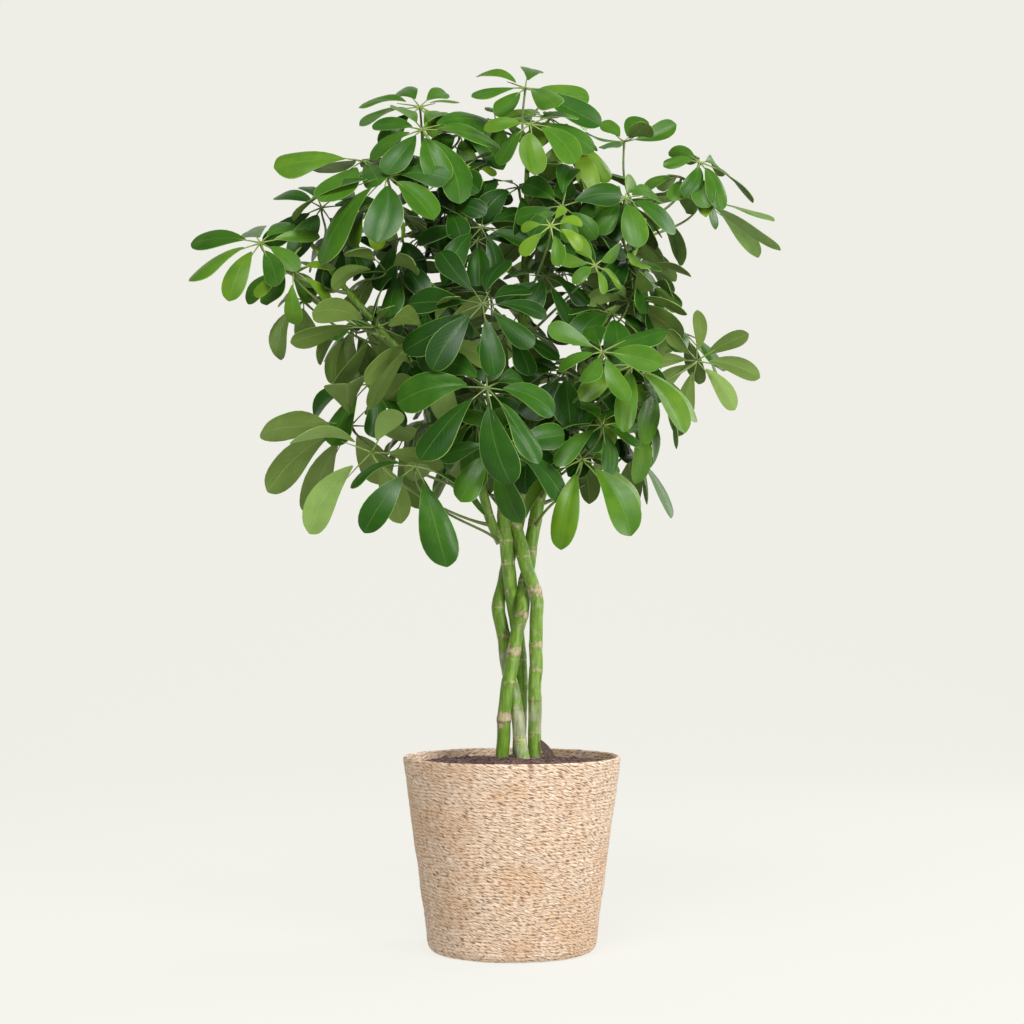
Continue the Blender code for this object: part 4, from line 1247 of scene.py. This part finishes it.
deselect()
bpy.ops.mesh.primitive_grid_add(x_subdivisions=BLADE_COLUMNS, y_subdivisions=BLADE_STEPS, size=2.0)
pattern = bpy.context.object
pattern.name = "flat_leaflet"
pattern.data.materials.append(leaf_top)
pattern.data.materials.append(leaf_under)
rows = points_of(pattern.data)
for row in rows:
    step = round((row[1] + 1.0) / 2.0 * BLADE_STEPS)
    share = BLADE_ROWS[step]
    rounding = ROUND_TIP * row[0] ** 2 * (step > BLADE_STEPS - ROUND_ROWS)
    row[0] *= half_outline(share)
    row[1] = BLADE_START + (1.0 - BLADE_START) * (share - rounding)
set_points(pattern.data, rows)
thicken = pattern.modifiers.new("second_side", "SOLIDIFY")
thicken.thickness = 0.02
thicken.offset = 0.0
thicken.material_offset = 1
thicken.material_offset_rim = 0
bpy.ops.object.modifier_apply(modifier=thicken.name)
bpy.ops.object.shade_smooth_by_angle(angle=math.radians(40))
flat = points_of(pattern.data)
print("flat leaflet faces:", len(pattern.data.polygons), "from", flat.min(0), "to", flat.max(0))

# %% [markdown]
# Each leaflet is a copy of the flat one, bent along its own middle line. Living leaflets also
# fold a little along the midrib, curl down at the edge, wave and twist. Those few numbers are
# drawn at random for every leaflet, with a fixed seed, so the plant is the same each time.

# %% Bend a leaflet
LEAF_THICK = 0.45
TWIST_AT_FOOT = 13
TWIST_TO_TIP = 14
LOPSIDED = (-0.35, 0.35)
FOLD = (-6, 34, 8)
CURL = (-0.05, 0.45)
WAVE = (0.01, 0.07)
ARCH = (-0.03, 0.06)
BEND = (-0.07, 0.07)
TIP_SAG = (-0.02, 0.16)
leaf_dice = random.Random(5)


def bent_leaflet(line, along, wide, length, half, tone, neck):
    """A copy of the flat leaflet, bent along a middle line, in millimetres."""
    share = np.clip(flat[:, 1], 0, 1) ** neck
    place = share * CURVE_STEPS
    steps = np.arange(CURVE_STEPS + 1)

    def sample(values):
        return np.stack([np.interp(place, steps, values[:, axis]) for axis in range(3)], axis=1)

    middle, forward, side = sample(line), unit(sample(along)), unit(sample(wide))
    up = np.cross(forward, side)
    twist = leaf_dice.gauss(0, TWIST_AT_FOOT) + leaf_dice.gauss(0, TWIST_TO_TIP) * share
    twist = np.radians(twist)
    side, up = (side * np.cos(twist)[:, None] + up * np.sin(twist)[:, None],
                up * np.cos(twist)[:, None] - side * np.sin(twist)[:, None])
    across = flat[:, 0] * (1 + leaf_dice.uniform(*LOPSIDED) * (share - 0.65))
    reach = np.abs(across)
    fold = math.tan(math.radians(leaf_dice.triangular(*FOLD))) * (1 - 0.5 * share)
    curl = leaf_dice.uniform(*CURL)
    wave = leaf_dice.uniform(*WAVE) * np.sin(2 * math.pi * (1.3 * share + leaf_dice.random()))
    arch = leaf_dice.uniform(*ARCH) * length * np.sin(math.pi * share)
    bend = leaf_dice.uniform(*BEND) * length * np.sin(math.pi * share)
    sag = leaf_dice.uniform(*TIP_SAG) * length * share ** 2.5
    cross_cut = fold * reach - curl * reach ** 3 + wave * np.sign(across) * reach ** 2
    height = half * cross_cut + arch - sag
    height += np.sign(flat[:, 2]) * LEAF_THICK / 2
    copy = pattern.copy()
    copy.data = pattern.data.copy()
    bpy.context.scene.collection.objects.link(copy)
    spots = middle + side * (across * half + bend)[:, None] + up * height[:, None]
    set_points(copy.data, spots * MM)
    store_marks(copy.data, "tone", [tone] * len(copy.data.vertices))
    return copy


# %% [markdown]
# A leaflet has a short stalk of its own, and the leaf has a long one. Both are thin rods of the
# kind that made the stems. The long stalk leaves its stem squarely, rises, and comes up under
# the hub from behind.

# %% Stalks
STALK_SIDES = 2
STALK_POINTS = 15


def green_rod(points, radii, tone):
    """A thin green stalk with its tone and finish."""
    rod = tube(points, radii, STALK_SIDES)
    store_marks(rod.data, "tone", [tone] * len(rod.data.vertices))
    rod.data.materials.append(leaf_stalk)
    bpy.ops.object.shade_smooth()
    return rod


def stalk_line(foot, outward, hub, axis):
    """Points of the long stalk, which leaves its stem squarely and comes up under the hub."""
    end = hub - axis * 1.2
    reach = np.linalg.norm(end - foot)
    first = foot + outward * reach * 0.35 + np.array([0, 0, reach * 0.2])
    second = end - axis * reach * 0.3
    share = np.linspace(0, 1, STALK_POINTS)[:, None]
    rest = 1 - share
    line = (foot * rest ** 3 + first * 3 * rest ** 2 * share
            + second * 3 * rest * share ** 2 + end * share ** 3)
    return np.concatenate([[foot - outward * 2.0], line])


# %% [markdown]
# A leaf grew as one piece, so its leaflets, their short stalks and the long stalk are joined.
# Each leaflet first swings and nods a little about the hub, and grows or shrinks a little. The
# foot of the long stalk swells where it holds the stem, and a small cap closes the hub.

# %% Join a leaf
NECK_SHARE = (0.82, 1.15)
TONE_CHANGE = (-0.18, 0.18)
GROWTH = (0.88, 1.06)
WIDTH_CHANGE = (0.9, 1.1)
SWING = 5
NOD = 7
NECK_RADII = (0.85, 0.8, 0.65, 0.6, 0.25)
NECK_DROP = 0.35
STALK_THICK = 1.35
STALK_THIN = 0.95
FOOT_RADII = (2.4, 2.0, 1.5)
CAP_RADII = (1.15, 1.6)


def turned(rows, axis, degrees):
    """Rows of an array turned about an axis."""
    return rows @ np.array(Matrix.Rotation(math.radians(degrees), 3, Vector(axis))).T


def whole_leaf(name, leaf, width, foot, outward, slim, stretch=1.0):
    """All leaflets, their short stalks, the hub and the long stalk as one piece."""
    axis = leaf_axes(leaf)[0]
    points, along, wide, lengths = middle_lines(leaf)
    halves = width * leaflet_widths(leaf, points, lengths) / 2
    parts = []
    hub = np.asarray(leaf.hub, float)
    neck_share = leaf_dice.uniform(*NECK_SHARE)
    for index in range(leaf.count):
        tone = leaf.tone + leaf_dice.uniform(*TONE_CHANGE)
        swing, nod = leaf_dice.gauss(0, SWING), leaf_dice.gauss(0, NOD)
        grow = stretch * leaf_dice.uniform(*GROWTH)
        hinge = wide[index][0]
        lines = (points[index] - hub) * grow, along[index], wide[index]
        line, forward, side = [turned(turned(rows, hinge, nod), axis, swing) for rows in lines]
        line = line + hub
        half = halves[index] * slim * leaf_dice.uniform(*WIDTH_CHANGE)
        parts.append(bent_leaflet(line, forward, side, lengths[index], half, tone, neck_share))
        neck = [hub, line[0], line[1], line[2], line[4]]
        lowered = [point - axis * NECK_DROP for point in neck]
        parts.append(green_rod(lowered, NECK_RADII, leaf.tone))
    line = stalk_line(foot, outward, hub, axis)
    radii = np.linspace(STALK_THICK, STALK_THIN, len(line))
    radii[:3] = FOOT_RADII
    radii[-2:] = CAP_RADII
    parts.append(green_rod(line, radii, leaf.tone * 0.6))
    pick(parts[0])
    for part in parts:
        part.select_set(True)
    bpy.ops.object.join()
    return hand_over(bpy.context.object, name, "leaf")


# %% [markdown]
# The stalk starts where the measured leaf comes nearest to its stem. The points of the measured
# stalk's foot are a small ring, and the middle of the ring is the start. Leaflets fill less than
# their slice of the fan. Two small tables, by leaf number, say which leaves have broader or
# slimmer leaflets than usual, and which have longer ones.

# %% Make the measured leaves
FOOT_REACH = 3.6
USUAL_SLIM = 0.8
SLIM = {2: 0.9, 3: 0.86, 4: 0.74, 5: 0.95, 6: 0.95, 7: 0.85, 8: 0.62, 10: 0.95, 11: 0.9,
        13: 0.78, 14: 0.72, 19: 0.86, 20: 0.76, 21: 0.76, 22: 0.7, 23: 0.86, 24: 0.82, 25: 0.66,
        28: 0.84, 29: 0.84, 30: 0.88, 31: 0.86}
STRETCH = {1: 1.1, 4: 1.08, 7: 1.05, 8: 1.15, 19: 1.14, 20: 1.1}


def crown_path(name):
    """Middle points of the part of a stem that can carry leaves."""
    tops = [Vector(row[:3]) for row in CROWN[name]]
    return tops if name == "stem_1" else trunks[name][-6:] + tops


def nearest_on(path, point):
    """Nearest point of a path to a point."""
    found = None
    for low, high in zip(path, path[1:]):
        step = high - low
        share = max(0.0, min(1.0, (point - low).dot(step) / step.length_squared))
        spot = low + step * share
        if found is None or (point - spot).length < (point - found).length:
            found = spot
    return found


def measured_foot(node, path):
    """Middle of the ring of points where a measured leaf meets its stem, and the way out."""
    corners = [Vector(point) / MM for point in points_of(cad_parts[node].data)]
    closest = min(corners, key=lambda point: (point - nearest_on(path, point)).length)
    ring = {tuple(round(value, 2) for value in point) for point in corners
            if (point - closest).length < FOOT_REACH}
    foot = sum((Vector(point) for point in ring), Vector()) / len(ring)
    return np.array(foot), np.array((foot - nearest_on(path, foot)).normalized())


for number, (_, leaf, width) in enumerate(crown, start=1):
    node = "leaf_%02d" % number
    foot, outward = measured_foot(node, crown_path(leaf.stem))
    slim, stretch = SLIM.get(number, USUAL_SLIM), STRETCH.get(number, 1.0)
    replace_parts(whole_leaf("fan_%02d" % number, leaf, width, foot, outward, slim, stretch), node)
print("leaves made:", len(crown))

# %% [markdown]
# A real crown has more leaves than the measured ones. Darker ones fill its middle, close to the
# stems; their dark tone is partly that of older leaves and partly painted shade of the crown's
# inside.
# They follow the golden angle, like those at the back, with stalks to the nearest stem.

# %% Inner leaves
INNER_LEAVES = 40
INNER_SLIM = 0.85
INNER_REACH = 42.0
INNER_BELLY = 50.0
INNER_LOW = 448.0
INNER_RISE = 255.0
INNER_WIDE = 1.25
FRONT_SHALLOW = 0.55
STEM_CHOICE_DROP = 30
STALK_DROP = 34
FOOT_GAP = 3.0


def distance_to(name, point):
    """How far a point lies from the leafy part of a stem."""
    return (point - nearest_on(crown_path(name), point)).length


def added_leaf(name, leaf, slim):
    """A leaf with no measured solid, on a stalk from the nearest place of its stem."""
    hub = Vector(leaf.hub)
    spot = nearest_on(crown_path(leaf.stem), hub - Vector((0, 0, STALK_DROP)))
    outward = (hub - spot).normalized()
    foot = np.array(spot + outward * FOOT_GAP)
    return whole_leaf(name, leaf, 1.0, foot, np.array(outward), slim)


for index in range(INNER_LEAVES):
    share = (index + 0.5) / INNER_LEAVES
    turn = math.radians(index * GOLDEN_ANGLE)
    reach = INNER_REACH + INNER_BELLY * math.sin(math.pi * share) + leaf_dice.uniform(-10, 10)
    depth = reach * math.sin(turn)
    hub = Vector((6.0 + INNER_WIDE * reach * math.cos(turn),
                  depth * (FRONT_SHALLOW if depth < 0 else 1.0), INNER_LOW + INNER_RISE * share))
    below = hub - Vector((0, 0, STEM_CHOICE_DROP))
    name = min(CROWN, key=lambda key: distance_to(key, below))
    # The low tones of these leaves are partly painted shade of the crown's inside.
    leaf = Leaf(name, np.array(hub), math.degrees(turn), elevation=leaf_dice.uniform(30, 60),
                length=leaf_dice.uniform(54, 74), count=7 + index % 2,
                droop=leaf_dice.uniform(16, 36), turn=leaf_dice.uniform(0, 50), lead=0,
                tone=leaf_dice.uniform(-0.05, 0.2))
    added_leaf("inner_fan_%02d" % (index + 1), leaf, INNER_SLIM)
print("inner leaves made:", INNER_LEAVES)

# %% [markdown]
# A few more leaves stand between the measured ones at the crown's top and sides, where a
# healthy plant is dense. Their records are listed, like the others.

# %% Leaves between
BETWEEN_SLIM = 0.88
BETWEEN = leaf_rows(
    (4, (-15, 25, 752), -100, 55, 60, 8, 15, 10, 60, 0.55),
    (2, (-84, 14, 762), -95, 46, 62, 8, 10, 20, -90, 0.55),
    (4, (34, 6, 750), -65, 52, 62, 7, 16, 5, 40, 0.7),
    (2, (-122, -28, 666), -90, 78, 58, 6, 60, 20, 0, 0.8),
    (2, (-134, -8, 708), -90, 68, 84, 7, 6, -90, -90, 0.5),
    (2, (-48, 20, 738), -90, 55, 62, 8, 14, 12, 90, 0.5),
    (1, (-152, 10, 640), -110, 45, 68, 7, 26, 0, -90, 0.15),
    (1, (-205, 8, 612), -120, 52, 52, 7, 24, 10, 0, 0.6),
    (1, (-128, -20, 505), -100, 55, 72, 7, 30, 15, -60, 0.3),
    (3, (156, 28, 700), -50, 60, 58, 7, 24, 0, 60, 0.55),
    (3, (118, -6, 598), 40, 42, 64, 7, 14, 15, 180, 0.65),
    (2, (-62, -8, 698), -90, 50, 50, 7, 14, 0, 0, 0.5),
    (1, (-142, -10, 556), 125, 60, 60, 7, 44, 10, 0, 0.25),
    (3, (128, -8, 502), -20, 50, 66, 7, 36, 0, 0, 0.55),
    (3, (70, 30, 700), 60, 60, 64, 8, 20, 0, 0, 0.4),
    (1, (-100, 0, 640), -140, 58, 66, 7, 24, 0, 0, 0.2),
)
for number, leaf in enumerate(BETWEEN, start=1):
    leaf = leaf._replace(hub=np.array(leaf.hub, float))
    added_leaf("outer_fan_%02d" % number, leaf, BETWEEN_SLIM)
bpy.data.objects.remove(pattern)
print("leaves between:", len(BETWEEN))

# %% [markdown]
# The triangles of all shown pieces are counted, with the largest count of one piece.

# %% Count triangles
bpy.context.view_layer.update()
triangles = [triangles_of(piece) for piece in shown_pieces() if piece.type == "MESH"]
print("triangles in all:", sum(triangles), "largest:", max(triangles))
